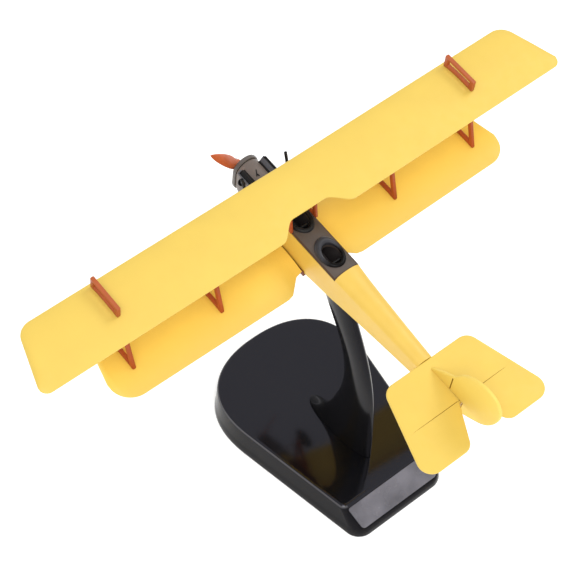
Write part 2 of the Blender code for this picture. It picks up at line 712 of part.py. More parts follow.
def leg_frame(side):
    """Splayed V-shaped leg with a boss for the axle at its foot."""
    top = PLATE_BOTTOM - FIT
    outer = [(5.3, top / MM), (12.2, top / MM), (5.5, -9.35), (3.7, -9.35)]
    inner = [(6.0, -1.7), (9.9, -1.7), (5.35, -7.5), (4.75, -7.5)]

    def skin(loop, thickness):
        ring = []
        for y, z in loop:
            reach = LEG_FOOT_X + (top - z * MM) * LEG_SPLAY + thickness
            ring.append((side * reach, y * MM, z * MM))
        return ring

    return loft([skin(outer, 0.0), skin(outer, LEG_THICKNESS),
                 skin(inner, LEG_THICKNESS), skin(inner, 0.0)], hollow=True)


def make_wheel(side, hand, parent):
    """A disc wheel, thick at the hub, and its tyre."""
    centre = (side * WHEEL_X, AXLE_Y, AXLE_Z)

    def place(u, v, w):
        return (side * WHEEL_X + w, AXLE_Y + u, AXLE_Z + v)

    rim = WHEEL_RADIUS - RIM_DEPTH
    half = [(AXLE_RADIUS + AXLE_CLEARANCE, HUB_HALF_WIDTH), (0.8 * MM, HUB_HALF_WIDTH), (rim, 0.3 * MM)]
    disc = [(r, -h) for r, h in half] + list(reversed(half))
    wheel = turned(disc, 20, place, hollow=True)
    make_object(f"wheel_{hand}", *wheel, parent, TAUPE, origin=centre)
    inside = rim + 0.04 * MM
    wide = TYRE_HALF_WIDTH
    half = [(inside, wide * 0.7), (inside + 0.3 * MM, wide), (WHEEL_RADIUS - 0.15 * MM, wide * 0.6)]
    tread = [(r, -h) for r, h in half] + [(WHEEL_RADIUS, 0.0)] + list(reversed(half))
    tyre = turned(tread, 20, place, hollow=True)
    make_object(f"tyre_{hand}", *tyre, parent, RUBBER_BLACK, origin=centre)


# ---------------------------------------------------------------- tail

def make_tail(parent):
    notch = (0.55 * MM, STERN - 0.15 * MM)
    elevator_heel = (5.0 * MM, TAIL_TRAIL)
    elevator_tip = (TAIL_SPAN_TE, TAIL_TRAIL)
    tail_tip = (TAIL_SPAN_LE, TAIL_LEAD)
    half = [notch]
    half += corner_arc(notch, elevator_heel, elevator_tip, 2.4 * MM, 6)
    half += corner_arc(elevator_heel, elevator_tip, tail_tip, 2.9 * MM, 7)
    half += corner_arc(elevator_tip, tail_tip, (0.0, TAIL_LEAD), 2.8 * MM, 6)
    other_half = [(-u, v) for u, v in reversed(half)]
    outline = list(reversed(other_half + half))
    tailplane = plate(outline, TAIL_TOP - TAIL_THICKNESS, TAIL_TOP, 0.22 * MM,
                      lambda u, v, w: (u, v, w))
    make_object("tailplane", *tailplane, parent, YELLOW)

    low = (TAIL_TOP + FIT) / MM
    stern = STERN / MM + 0.2
    side = [(50.3, low), (stern, low), (stern, 4.55), (60.6, 5.0), (64.7, 7.8), (66.7, 10.2),
            (68.0, 13.4), (68.4, 16.4), (67.6, 18.7), (66.0, 20.1), (63.8, 20.5), (61.4, 19.9),
            (59.2, 18.5), (57.3, 16.3), (55.9, 13.7), (53.0, 11.2)]
    outline = [(u * MM, v * MM) for u, v in side]
    fin = plate(outline, -FIN_THICKNESS / 2, FIN_THICKNESS / 2, 0.2 * MM, lambda u, v, w: (w, u, v))
    make_object("fin_and_rudder", *fin, parent, YELLOW)
    points = [(54.2, 3.92), (56.6, 2.5), (58.4, 1.75), (60.0, 1.6)]
    skid = tube([(0, y * MM, z * MM) for y, z in points], SKID_RADIUS)
    make_object("tail_skid", *skid, parent, ORANGE)


# ---------------------------------------------------------------- stand

def belly_point(y, z):
    """Level aircraft coordinates to stand coordinates."""
    c, s = math.cos(NOSE_UP), math.sin(NOSE_UP)
    return (y * c + z * s, AIRCRAFT_HEIGHT - y * s + z * c)


def belly_height(y):
    """Height of the rising part of the belly, where the pylon meets it."""
    line = [belly_point(u * MM, v * MM) for u, v in ((16.0, 0.0), (27.0, 1.6))]
    return float(np.interp(y, [p[0] for p in line], [p[1] for p in line])) - 2 * FIT


def oval(shape, grow, height, sides=20):
    centre, half_x, half_y = shape
    return circle(1.0, sides, lambda u, v: (u * (half_x + grow), centre + v * (half_y + grow), height))


def pylon_ring(front, rear, half_width, height):
    """Lens-shaped section with narrow front and rear edges."""
    middle, reach = (front + rear) / 2, (rear - front) / 2
    ring = []
    for i in range(20):
        a = 2 * math.pi * i / 20
        bulge = math.copysign(abs(math.cos(a)) ** 1.25, math.cos(a))
        y = middle + reach * math.sin(a)
        ring.append((half_width * bulge, y, height(y)))
    return ring


def make_pylon(parent):
    levels = [(8.06, 14.9, 35.4, 2.5), (8.8, 14.9, 35.45, 2.45), (9.5, 16.4, 35.5, 2.35),
              (11.0, 18.6, 35.5, 2.25), (14.0, 20.9, 35.6, 2.1), (19.0, 22.9, 35.6, 1.95),
              (24.0, 24.5, 35.6, 1.8), (30.0, 25.6, 35.3, 1.7), (36.0, 25.7, 34.5, 1.65),
              (42.0, 24.7, 33.1, 1.6), (48.0, 22.5, 31.1, 1.6), (54.0, 19.5, 28.8, 1.6)]
    rings = [oval(TENON, 0.0, TENON_BOTTOM), oval(TENON, 0.0, levels[0][0] * MM)]
    for height, front, rear, half_width in levels:
        rings.append(pylon_ring(front * MM, rear * MM, half_width * MM, lambda y, z=height * MM: z))
    rings.append(pylon_ring(17.0 * MM, 26.7 * MM, 1.6 * MM, belly_height))
    rings.append([(x, y, belly_height(y)) for x, y, z in oval(PEG, 0.0, 0.0)])
    rings.append(oval(PEG, 0.0, PEG_TOP))
    pylon = make_object("stand_pylon", *loft(rings), parent, GLOSS_BLACK)
    bore = SCREW_RADIUS + 0.05 * MM
    pilot = turned([(bore, 2.0 * MM), (bore, SCREW_TOP + 0.4 * MM)], 12, stand_axis)
    boolean(pylon, make_cutter("cut_pilot_hole", *pilot, parent))


def stand_axis(u, v, w):
    return (u, TENON[0] + v, w)


def base_outline(height, shrink, rear, corner):
    """D-shaped outline: a round front, tapering sides and a straight rear with rounded corners."""
    nose = BASE_FRONT + shrink
    count = 14
    half = []
    for i in range(count):
        a = math.pi / 2 * i / (count - 1)
        y = BASE_SHOULDER - (BASE_SHOULDER - nose) * max(math.cos(a), 0.0) ** (2 / BASE_ROUNDNESS)
        wide = BASE_HALF_WIDTH - shrink + (BASE_SHOULDER - y) * math.tan(BASE_TAPER)
        half.append((wide * math.sin(a) ** (2 / BASE_ROUNDNESS), y))
    edge_x, edge_y = half[-1]
    tail_x = edge_x - (rear - edge_y) * math.tan(BASE_TAPER)
    half += corner_arc((edge_x, edge_y), (tail_x, rear), (0.0, rear), corner, 6)
    other_half = [(-x, y) for x, y in reversed(half[1:])]
    return [(x, y, height) for x, y in half + other_half]


def base_skin(levels):
    return loft([base_outline(*(value * MM for value in row)) for row in levels])


def make_base(parent):
    rear = BASE_REAR / MM
    levels = [(0.0, 0.2, rear - 0.2, 3.6), (0.4, 0.0, rear, 4.0), (2.7, 0.3, rear - 0.3, 3.6),
              (7.35, 0.75, 41.65, 1.4), (7.8, 0.95, 41.3, 1.1), (BASE_HEIGHT / MM, 1.35, 41.0, 0.9)]
    base = make_object("stand_base", *base_skin(levels), parent, GLOSS_BLACK)
    hollow = [(-1.0, 1.7, 44.6, 2.4), (2.0, 1.9, 44.0, 2.2), (6.2, 2.3, 39.2, 1.4)]
    boolean(base, make_cutter("cut_underside", *base_skin(hollow), parent))
    boss = box((0, TENON[0], BOSS_CENTRE_Z), BOSS_SIZE)
    boolean(base, make_cutter("add_pylon_boss", *boss, parent), "UNION")
    socket = loft([oval(TENON, 0.1 * MM, 3.4 * MM), oval(TENON, 0.1 * MM, 9.0 * MM)])
    boolean(base, make_cutter("cut_pylon_socket", *socket, parent))
    bore = SCREW_RADIUS + 0.1 * MM
    hole = turned([(bore, 0.0), (bore, 5.0 * MM)], 12, stand_axis)
    boolean(base, make_cutter("cut_screw_hole", *hole, parent))
    margin = 0.1 * MM
    recess = sloped_plate(margin, -NAMEPLATE_DEPTH - margin, NAMEPLATE_DEPTH)
    boolean(base, make_cutter("cut_plate_recess", *recess, parent))
    make_object("nameplate", *sloped_plate(0.0, -NAMEPLATE_DEPTH, 0.0), parent, SATIN_GREY)
    low, high = SCREW_HEAD
    profile = [(SCREW_HEAD_RADIUS, low), (SCREW_HEAD_RADIUS, high), (SCREW_RADIUS, high),
               (SCREW_RADIUS, SCREW_TOP)]
    make_object("pylon_screw", *turned(profile, 12, stand_axis), parent, STEEL)


def sloped_plate(grow, low, high):
    """A plate between two depths of the sloping rear face, wider at its upper edge."""
    top = NAMEPLATE_TOP + grow
    foot = NAMEPLATE_FOOT + grow
    reach = NAMEPLATE_LENGTH / 2 + grow
    outline = [(-top, -reach), (top, -reach), (foot, reach), (-foot, reach)]
    turn = Matrix.Rotation(-PLATE_SLOPE, 4, "X")
    centre = Vector((0.0, *PLATE_CENTRE))
    return loft([[tuple(centre + turn @ Vector((u, v, w))) for u, v in outline] for w in (low, high)])


def main():
    clear_scene()
    stand = make_empty("stand_frame", (0.0, DATUM_Y, 0.0))
    aircraft = make_empty("aircraft_frame", (0.0, DATUM_Y, AIRCRAFT_HEIGHT), NOSE_UP)
    make_base(stand)
    make_pylon(stand)
    peg_hole = loft([oval(PEG, PEG_CLEARANCE, 58.0 * MM), oval(PEG, PEG_CLEARANCE, PEG_TOP + 0.2 * MM)])
    peg_cutter = make_cutter("cut_peg_hole", *peg_hole, stand)
    make_fuselage(aircraft, peg_cutter)
    make_nose(aircraft)
    make_propeller(aircraft)
    make_wings(aircraft)
    make_struts(aircraft)
    make_undercarriage(aircraft)
    make_tail(aircraft)


main()
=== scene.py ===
"""Looks of a biplane scale model on its display stand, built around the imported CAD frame.

Aircraft shapes are drawn level, with y counted aft of the upper wing's leading edge and z up from the
belly, and are then placed by the propeller's joint. Stand shapes count y from the same edge.
Lengths are in metres, and MM turns millimetres into them.
"""
import math

import bmesh
import bpy
import numpy as np
from mathutils import Matrix, Vector
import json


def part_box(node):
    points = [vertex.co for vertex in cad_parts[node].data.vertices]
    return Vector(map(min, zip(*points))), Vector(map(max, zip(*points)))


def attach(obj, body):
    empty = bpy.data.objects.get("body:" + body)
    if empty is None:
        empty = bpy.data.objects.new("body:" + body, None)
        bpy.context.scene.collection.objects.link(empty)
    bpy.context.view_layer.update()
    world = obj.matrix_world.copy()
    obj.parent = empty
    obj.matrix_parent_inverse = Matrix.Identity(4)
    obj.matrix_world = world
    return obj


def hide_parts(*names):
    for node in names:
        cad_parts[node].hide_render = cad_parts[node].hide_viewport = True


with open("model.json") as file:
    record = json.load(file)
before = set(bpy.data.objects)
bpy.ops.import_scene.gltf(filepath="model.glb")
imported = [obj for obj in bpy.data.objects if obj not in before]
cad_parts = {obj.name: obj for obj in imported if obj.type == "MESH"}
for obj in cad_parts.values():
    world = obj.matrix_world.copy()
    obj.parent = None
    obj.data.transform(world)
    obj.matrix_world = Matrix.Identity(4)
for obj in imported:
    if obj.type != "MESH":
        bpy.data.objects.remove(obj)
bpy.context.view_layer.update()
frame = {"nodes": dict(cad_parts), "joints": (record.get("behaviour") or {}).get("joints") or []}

MM = 0.001
FIT = 0.06 * MM                # gap between glued pieces, as in the CAD

# Wings
CHORD_PLANE = 16.0 * MM
UPPER_CHORD = 14.8 * MM
UPPER_SPAN_LE = 61.5 * MM
UPPER_SPAN_TE = 66.2 * MM
UPPER_DIHEDRAL = math.radians(0.75)
CUTOUT_DEPTH = 3.5 * MM
CUTOUT_INNER = 4.0 * MM
CUTOUT_OUTER = 9.2 * MM
LOWER_PLANE = 0.47 * MM
LOWER_CHORD = 14.6 * MM
STAGGER = 4.5 * MM
LOWER_SPAN_LE = 48.55 * MM
LOWER_SPAN_TE = 52.0 * MM
LOWER_DIHEDRAL = math.radians(1.45)
LOWER_ROOT = 3.5 * MM
WING_THICKNESS = 1.05 * MM
WING_CAMBER = 0.45 * MM
RIB_PITCH = 3.3 * MM
RIB_HEIGHT = 0.012 * MM

# Fuselage and nose
DECK_FRONT = 2.05 * MM
DECK_REAR = 24.2 * MM
DECK_HALF_WIDTH = 3.15 * MM
DECK_EDGE = 8.85 * MM
DECK_RIDGE = 9.5 * MM
BODY_TOP = 8.6 * MM
TAIL_SEAT = 7.62 * MM
STERN = 59.25 * MM
FRONT_COCKPIT = (9.2 * MM, 1.75 * MM, 2.75 * MM)      # centre, half width and half length
REAR_COCKPIT = (19.45 * MM, 1.8 * MM, 2.4 * MM)
TUB_CENTRE = (0.0, 13.3 * MM, 6.2 * MM)
TUB_SIZE = (5.0 * MM, 19.4 * MM, 10.0 * MM)
THRUST_LINE = 5.2 * MM
RADIATOR_FRONT = -8.9 * MM
RADIATOR_REAR = -7.9 * MM
RADIATOR_LIP = 0.3 * MM
RADIATOR_WALL = 0.65 * MM
CORE_RECESS = 0.4 * MM
BANK_SIZE = (1.12 * MM, 6.9 * MM, 1.9 * MM)
BANK_LEAN = math.radians(42)
BANK_CENTRE = (2.7 * MM, -3.1 * MM, 9.74 * MM)
EXHAUST_RADIUS = 0.33 * MM
INTAKE = Vector((3.25, -5.35, 7.75)) * MM
INTAKE_AXIS = (0.62, 0.12, 0.78)
INTAKE_RADIUS = 0.8 * MM
PROPELLER_Y = -10.5 * MM
PROPELLER_ANGLE = math.radians(52.6)
BLADE_PITCH = -58.0            # degrees at the hub, and gained for each millimetre of reach
BLADE_TWIST = 3.2
SHAFT_RADIUS = 0.35 * MM

# Undercarriage
AXLE_Y = 4.6 * MM
AXLE_Z = -8.6 * MM
AXLE_RADIUS = 0.35 * MM
WHEEL_X = 7.55 * MM
WHEEL_RADIUS = 3.3 * MM

# Tail
TAIL_TOP = 8.42 * MM
TAIL_THICKNESS = 0.74 * MM
TAIL_LEAD = 48.4 * MM
TAIL_TRAIL = 67.8 * MM
TAIL_SPAN_LE = 10.75 * MM
TAIL_SPAN_TE = 16.75 * MM
ELEVATOR_HINGE = 58.8 * MM
RUDDER_HINGE = 55.9 * MM

# Stand
BASE_FRONT = -7.5 * MM
BASE_SHOULDER = 14.0 * MM
BASE_HALF_WIDTH = 18.35 * MM
BASE_ROUNDNESS = 2.25
BASE_TAPER = math.radians(9.8)
PLATE_SLOPE = math.radians(43.2)
PLATE_CENTRE = (44.1 * MM, 5.05 * MM)
NAMEPLATE_TOP = 11.8 * MM       # half widths of its top and bottom edges
NAMEPLATE_FOOT = 10.8 * MM
NAMEPLATE_LENGTH = 6.0 * MM
NAMEPLATE_DEPTH = 0.45 * MM
TENON = (26.0 * MM, 1.5 * MM, 4.0 * MM)      # centre, half width and half length
PEG = (24.9 * MM, 0.6 * MM, 1.1 * MM)
PEG_TOP = 61.9 * MM
LENS_FULLNESS = 1.25           # of the pylon's section
SCREW_RADIUS = 0.55 * MM

# Camera, in the row frame
TARGET = Vector((8.154, -12.588, 60.275)) * MM
AZIMUTH = math.radians(141.372)
ELEVATION = math.radians(54.632)
ROLL = math.radians(-0.310)
DISTANCE = 359.66 * MM
LENS = 110.97

# Lights: place and size in metres, power in watts
KEY_LIGHT = ((0.32, 0.40, 0.80), 0.5, 3.7)
SIDE_LIGHT = ((-0.55, 0.05, 0.75), 0.40, 2.0)
LIGHT_AIM = Vector((0.0, 0.0, 0.05))
SKY_COLOUR = (0.97, 0.985, 1.0, 1.0)
SKY_STRENGTH = 0.85
FLOOR_REACH = 6.0
FLOOR_COLOUR = (0.97, 0.97, 0.97, 1.0)
FLOOR_GLOW = 0.28


# ---------------------------------------------------------------- frames of reference

def aircraft_frame():
    joint = next(j for j in frame["joints"] if j["name"] == "propeller_spin")
    axis = joint["axis"]
    tilt = Matrix.Rotation(math.atan2(axis[2], axis[1]), 4, "X")
    level = Matrix.Translation((0.0, -PROPELLER_Y, -THRUST_LINE))
    return Matrix.Translation(joint["pos_m"]) @ tilt @ level


def stand_frame():
    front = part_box("stand_base")[0].y
    return Matrix.Translation((0.0, front - BASE_FRONT, 0.0))


AIRCRAFT = aircraft_frame()
STAND = stand_frame()


# ---------------------------------------------------------------- mesh helpers

def linked(name, data):
    item = bpy.data.objects.new(name, data)
    bpy.context.scene.collection.objects.link(item)
    return item


def new_mesh(name, verts, faces, sharp=35):
    mesh = bpy.data.meshes.new(name)
    mesh.from_pydata([tuple(v) for v in verts], [], faces)
    work = bmesh.new()
    work.from_mesh(mesh)
    bmesh.ops.recalc_face_normals(work, faces=work.faces)
    work.to_mesh(mesh)
    work.free()
    mesh.shade_smooth()
    mesh.set_sharp_from_angle(angle=math.radians(sharp))
    return mesh


def piece(name, shape, place, body, material, replaced, sharp=35):
    """A new piece, drawn in a local frame, that stands for CAD nodes."""
    item = linked(name, new_mesh(name, *placed(shape, place), sharp))
    item.data.materials.append(material)
    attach(item, body)
    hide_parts(*replaced)
    return item


def repaint(item, place, material, test):
    """Give another material to the faces whose centres test(u, v, w) picks in a local frame."""
    item.data.materials.append(material)
    index = len(item.data.materials) - 1
    inverse = place.inverted()
    for face in item.data.polygons:
        if test(*(inverse @ face.center)):
            face.material_index = index


def as_drawn(u, v, w):
    return (u, v, w)


def placed(shape, place):
    verts, faces = shape
    return [place @ Vector(v) for v in verts], faces


def eased_copy(node, body, material, width, segments=3):
    """A copy of a CAD node's shape with its edges rounded."""
    name = node + "_eased"
    mesh = frame["nodes"][node].data.copy()
    mesh.name = name
    work = bmesh.new()
    work.from_mesh(mesh)
    bmesh.ops.remove_doubles(work, verts=work.verts, dist=0.002 * MM)
    flat = math.radians(1.0)
    bmesh.ops.dissolve_limit(work, angle_limit=flat, verts=work.verts, edges=work.edges)
    bmesh.ops.recalc_face_normals(work, faces=work.faces)
    work.to_mesh(mesh)
    work.free()
    mesh.materials.clear()
    mesh.materials.append(material)
    mesh.shade_smooth()
    item = linked(name, mesh)
    bevel = item.modifiers.new("eased_edges", "BEVEL")
    bevel.width = width
    bevel.segments = segments
    bevel.limit_method = "ANGLE"
    bevel.angle_limit = math.radians(30)
    bevel.harden_normals = True
    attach(item, body)
    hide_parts(node)


def combine(base, others, operation="DIFFERENCE"):
    """The shape left when solids are cut from, or joined to, a base solid."""
    items = [linked(f"solid_{i}", new_mesh(f"solid_{i}", *shape))
             for i, shape in enumerate([base, *others])]
    for other in items[1:]:
        modifier = items[0].modifiers.new(other.name, "BOOLEAN")
        modifier.operation = operation
        modifier.object = other
        modifier.solver = "EXACT"
    evaluated = items[0].evaluated_get(bpy.context.evaluated_depsgraph_get())
    mesh = evaluated.to_mesh()
    shape = [v.co.copy() for v in mesh.vertices], [tuple(p.vertices) for p in mesh.polygons]
    evaluated.to_mesh_clear()
    for item in items:
        bpy.data.objects.remove(item, do_unlink=True)
    return shape


def loft(rings, hollow=False):
    """Skin rings of equal length. A hollow loft joins the last ring to the first."""
    count = len(rings[0])
    verts = [point for ring in rings for point in ring]
    faces = []
    spans = len(rings) if hollow else len(rings) - 1
    for i in range(spans):
        start = i * count
        after = ((i + 1) % len(rings)) * count
        for j in range(count):
            k = (j + 1) % count
            faces.append((start + j, start + k, after + k, after + j))
    if not hollow:
        faces.append(tuple(range(count)))
        faces.append(tuple(range((len(rings) - 1) * count, len(rings) * count)))
    return verts, faces


def rings_from(rows, ring):
    """One ring for each row of numbers in millimetres."""
    return [ring(*(value * MM for value in row)) for row in rows]


def circle(radius, sides, place):
    angles = [2 * math.pi * i / sides for i in range(sides)]
    return [place(radius * math.cos(a), radius * math.sin(a)) for a in angles]


def corner_arc(before, corner, after, radius, steps):
    """Points of the arc that rounds one corner of a flat outline."""
    p, q, r = (Vector(v) for v in (before, corner, after))
    to_p = (p - q).normalized()
    to_r = (r - q).normalized()
    half = to_p.angle(to_r) / 2
    centre = q + (to_p + to_r).normalized() * (radius / math.sin(half))
    start = q + to_p * (radius / math.tan(half)) - centre
    end = q + to_r * (radius / math.tan(half)) - centre
    sweep = start.angle(end)
    points = []
    for i in range(steps):
        t = i / (steps - 1)
        a = math.sin((1 - t) * sweep) / math.sin(sweep)
        b = math.sin(t * sweep) / math.sin(sweep)
        points.append(tuple(centre + start * a + end * b))
    return points


def rounded(corners, radii, steps):
    """Outline of a four-sided shape with an arc at each corner."""
    outline = []
    for i, radius in enumerate(radii):
        outline += corner_arc(corners[i - 1], corners[i], corners[(i + 1) % 4], radius, steps)
    return outline


def inset(outline, distance):
    """Move every side of a flat outline inwards, for an outline that runs anticlockwise."""
    moved = []
    count = len(outline)
    for i in range(count):
        p, q, r = (Vector(outline[(i + k) % count]) for k in (-1, 0, 1))
        a = (q - p).normalized()
        b = (r - q).normalized()
        normal = Vector((-a.y, a.x)) + Vector((-b.y, b.x))
        scale = max(normal.length_squared / 2, 0.4)
        moved.append(tuple(q + normal * (distance / scale)))
    return moved


def plate(outline, low, high, edge, place, steps=4):
    """A plate with rounded edges; place(u, v, w) maps the outline and the thickness."""
    turns = [math.pi / 2 * i / steps for i in range(steps + 1)]
    eases = [(edge * (1 - math.sin(a)), edge * (1 - math.cos(a))) for a in turns]
    levels = [(low + rise, shrink) for rise, shrink in reversed(eases)]
    levels += [(high - rise, shrink) for rise, shrink in eases]
    return loft([[place(u, v, w) for u, v in inset(outline, d)] for w, d in levels])


def turned(profile, sides, place, hollow=False):
    """Turn (radius, height) pairs; place(u, v, w) maps the circle and the height."""
    rings = [circle(r, sides, lambda u, v: place(u, v, h)) for r, h in profile]
    return loft(rings, hollow)


def tube(points, radius, sides=20):
    """A round bar along a bent line."""
    path = [Vector(p) for p in points]
    rings = []
    side = Vector((1.0, 0.0, 0.0))
    for i, point in enumerate(path):
        along = (path[min(i + 1, len(path) - 1)] - path[max(i - 1, 0)]).normalized()
        side = (side - along * side.dot(along)).normalized()
        other = along.cross(side)
        rings.append(circle(radius, sides, lambda u, v: tuple(point + side * u + other * v)))
    return loft(rings)


def box(centre, size):
    x, y, z = (s / 2 for s in size)
    rings = []
    for h in (-z, z):
        corners = ((-x, -y), (x, -y), (x, y), (-x, y))
        rings.append([(centre[0] + u, centre[1] + v, centre[2] + h) for u, v in corners])
    return loft(rings)


def smooth_step(value):
    t = min(max(value, 0.0), 1.0)
    return t * t * (3 - 2 * t)


def curve_through(rows, count):
    """Rows of numbers joined by a smooth curve, read at count even steps of the first column."""
    table = np.array(rows, float)
    keys = table[:, 0]
    slopes = np.gradient(table, keys, axis=0)
    out = []
    for key in np.linspace(keys[0], keys[-1], count):
        i = min(int(np.searchsorted(keys, key, side="right")) - 1, len(keys) - 2)
        span = keys[i + 1] - keys[i]
        t = (key - keys[i]) / span
        a, b = table[i], table[i + 1]
        m, n = slopes[i] * span, slopes[i + 1] * span
        row = (2 * t**3 - 3 * t**2 + 1) * a + (t**3 - 2 * t**2 + t) * m
        out.append(row + (3 * t**2 - 2 * t**3) * b + (t**3 - t**2) * n)
    return out


# ---------------------------------------------------------------- materials

def finish(name, colour, roughness, bump=0.0, mottle=0.1, grain=1500.0, specular=0.5, metallic=0.0,
           edge=None, painted_light_ramp=None):
    """A Principled finish with mottled colour and gloss, and a fine bump of the given height.

    edge is the colour of worn edges and their share. painted_light_ramp is a painted gradient of light
    and
    shade: a second colour, the direction and the stretch in which it takes over, and what share of the
    gloss is left there.
    """
    material = bpy.data.materials.new(name)
    material.use_nodes = True
    nodes, links = material.node_tree.nodes, material.node_tree.links
    shader = nodes["Principled BSDF"]
    shader.inputs["Metallic"].default_value = metallic
    shader.inputs["Specular IOR Level"].default_value = specular
    place = nodes.new("ShaderNodeTexCoord").outputs["Object"]

    def noise(scale, detail):
        node = nodes.new("ShaderNodeTexNoise")
        node.inputs["Scale"].default_value = scale
        node.inputs["Detail"].default_value = detail
        links.new(place, node.inputs["Vector"])
        return node.outputs["Fac"]

    def spread(source, low, high, start=0.3, end=0.7):
        node = nodes.new("ShaderNodeMapRange")
        node.inputs["From Min"].default_value = start
        node.inputs["From Max"].default_value = end
        node.inputs["To Min"].default_value = low
        node.inputs["To Max"].default_value = high
        links.new(source, node.inputs["Value"])
        return node.outputs["Result"]

    def mix(factor, first, second):
        node = nodes.new("ShaderNodeMix")
        node.data_type = "RGBA"
        links.new(factor, node.inputs["Factor"])
        for value, socket in ((first, node.inputs[6]), (second, node.inputs[7])):
            if hasattr(value, "links"):
                links.new(value, socket)
            else:
                socket.default_value = (*value, 1.0)
        return node.outputs[2]

    cloud = noise(grain * 0.12, 4.0)
    dark = tuple(c * (1 - mottle) for c in colour)
    light = tuple(min(c * (1 + mottle), 1.0) for c in colour)
    shade = mix(spread(cloud, 0.0, 1.0), dark, light)
    # Painted light and shade: a second colour and gloss take over along one direction.
    if painted_light_ramp:
        other, heading, (start, end), gloss_share = painted_light_ramp
        along = nodes.new("ShaderNodeVectorMath")
        along.operation = "DOT_PRODUCT"
        along.inputs[1].default_value = heading
        links.new(place, along.inputs[0])
        shade = mix(spread(along.outputs["Value"], 0.0, 1.0, start, end), shade, other)
        gloss = spread(along.outputs["Value"], specular, specular * gloss_share, start, end)
        links.new(gloss, shader.inputs["Specular IOR Level"])
    if edge:
        worn, share = edge
        pointed = nodes.new("ShaderNodeNewGeometry").outputs["Pointiness"]
        shade = mix(spread(pointed, 0.0, share, 0.51, 0.58), shade, worn)
    links.new(shade, shader.inputs["Base Color"])
    sheen = spread(noise(grain * 0.4, 3.0), roughness * 0.88, roughness * 1.12)
    links.new(sheen, shader.inputs["Roughness"])
    if bump:
        relief = nodes.new("ShaderNodeBump")
        relief.inputs["Strength"].default_value = 1.0
        relief.inputs["Distance"].default_value = bump
        links.new(noise(grain, 2.0), relief.inputs["Height"])
        links.new(relief.outputs["Normal"], shader.inputs["Normal"])
    return material


def world_lines(lines, z):
    """World y of lines across the aircraft, given in millimetres behind the wing's front edge."""
    return [(AIRCRAFT @ Vector((0.0, y * MM, z))).y for y in lines]


PLASTIC = {"roughness": 0.55, "bump": 0.012 * MM, "mottle": 0.02, "grain": 1400.0}
YELLOW = finish("yellow_plastic", (0.72, 0.497, 0.083), **PLASTIC)
# A brighter copy of the yellow for the fin and rudder: painted light on their side faces.
YELLOW_FIN_PAINTED_LIGHT = finish("yellow_fin_painted_light", (0.80, 0.567, 0.104), **PLASTIC)
# The lower wings are painted brighter and more orange towards their front, and the plain yellow takes
# over between 12 and 18.5 mm behind the upper wing's front edge: painted light standing in for light
# bounced between the wings.
YELLOW_LOWER_PAINTED_LIGHT = finish("yellow_lower_painted_light", (0.90, 0.600, 0.090), **PLASTIC, painted_light_ramp=(
    (0.715, 0.492, 0.083), (0.0, 1.0, 0.0), world_lines((12.0, 18.5), LOWER_PLANE), 1.0))
YELLOW_PAINT = finish("yellow_paint", (0.71, 0.462, 0.074), 0.42, bump=0.008 * MM, mottle=0.025)

BRUSHED = {"bump": 0.01 * MM, "mottle": 0.12, "grain": 1600.0}
ORANGE = finish("orange_brown_paint", (0.385, 0.080, 0.019), 0.46, **BRUSHED, specular=0.35,
                edge=((0.52, 0.15, 0.05), 0.3))
BROWN = finish("red_brown_paint", (0.36, 0.062, 0.009), 0.5, **BRUSHED, specular=0.3)
BLADE = finish("blade_paint", (0.52, 0.108, 0.027), 0.42, **BRUSHED, specular=0.35,
               edge=((0.60, 0.18, 0.06), 0.3))
# A darker copy of the red-brown for the undercarriage plate: painted shade under the lower wing root.
PLATE_BROWN_PAINTED_SHADE = finish("plate_brown_painted_shade", (0.150, 0.032, 0.009), 0.5, bump=0.01 * MM, mottle=0.15,
              specular=0.3)
# Dark brown for the cockpit deck's edges: painted shade.
DECK_EDGE_PAINTED_SHADE = finish("deck_edge_painted_shade", (0.055, 0.025, 0.011), 0.55, bump=0.01 * MM, mottle=0.2)
GROOVE = finish("groove_shade", (0.34, 0.190, 0.018), 0.7, bump=0.004 * MM, specular=0.1)

TAUPE = finish("taupe_paint", (0.128, 0.098, 0.082), 0.42, bump=0.012 * MM, mottle=0.12,
               edge=((0.25, 0.21, 0.18), 0.4))
# A darker copy of the taupe for the cockpit deck: painted shade from the upper wing.
TAUPE_DECK_PAINTED_SHADE = finish("taupe_deck_painted_shade", (0.078, 0.059, 0.048), 0.46, bump=0.012 * MM, mottle=0.22,
                    specular=0.4)
TAUPE_DARK = finish("taupe_ring_paint", (0.088, 0.074, 0.066), 0.40, bump=0.012 * MM, mottle=0.16)
INTERIOR = finish("interior_grey", (0.085, 0.072, 0.072), 0.6, bump=0.01 * MM, mottle=0.2, specular=0.2)

CAST = {"bump": 0.02 * MM, "grain": 1400.0}
ENGINE = finish("engine_grey", (0.030, 0.030, 0.035), 0.38, **CAST, mottle=0.25, metallic=0.3,
                edge=((0.17, 0.165, 0.165), 0.8))
CYLINDER = finish("cylinder_grey", (0.068, 0.068, 0.077), 0.42, **CAST, mottle=0.2,
                  edge=((0.15, 0.15, 0.155), 0.5))
# Near black for the pipes, intake and seats; also painted shade on the front coaming, in the sunken
# tops of the cylinder blocks and on the strips beside them.
BLACK_AND_PAINTED_SHADE = finish("black_and_painted_shade", (0.0085, 0.0075, 0.0075), 0.5, **CAST, mottle=0.3, specular=0.22)
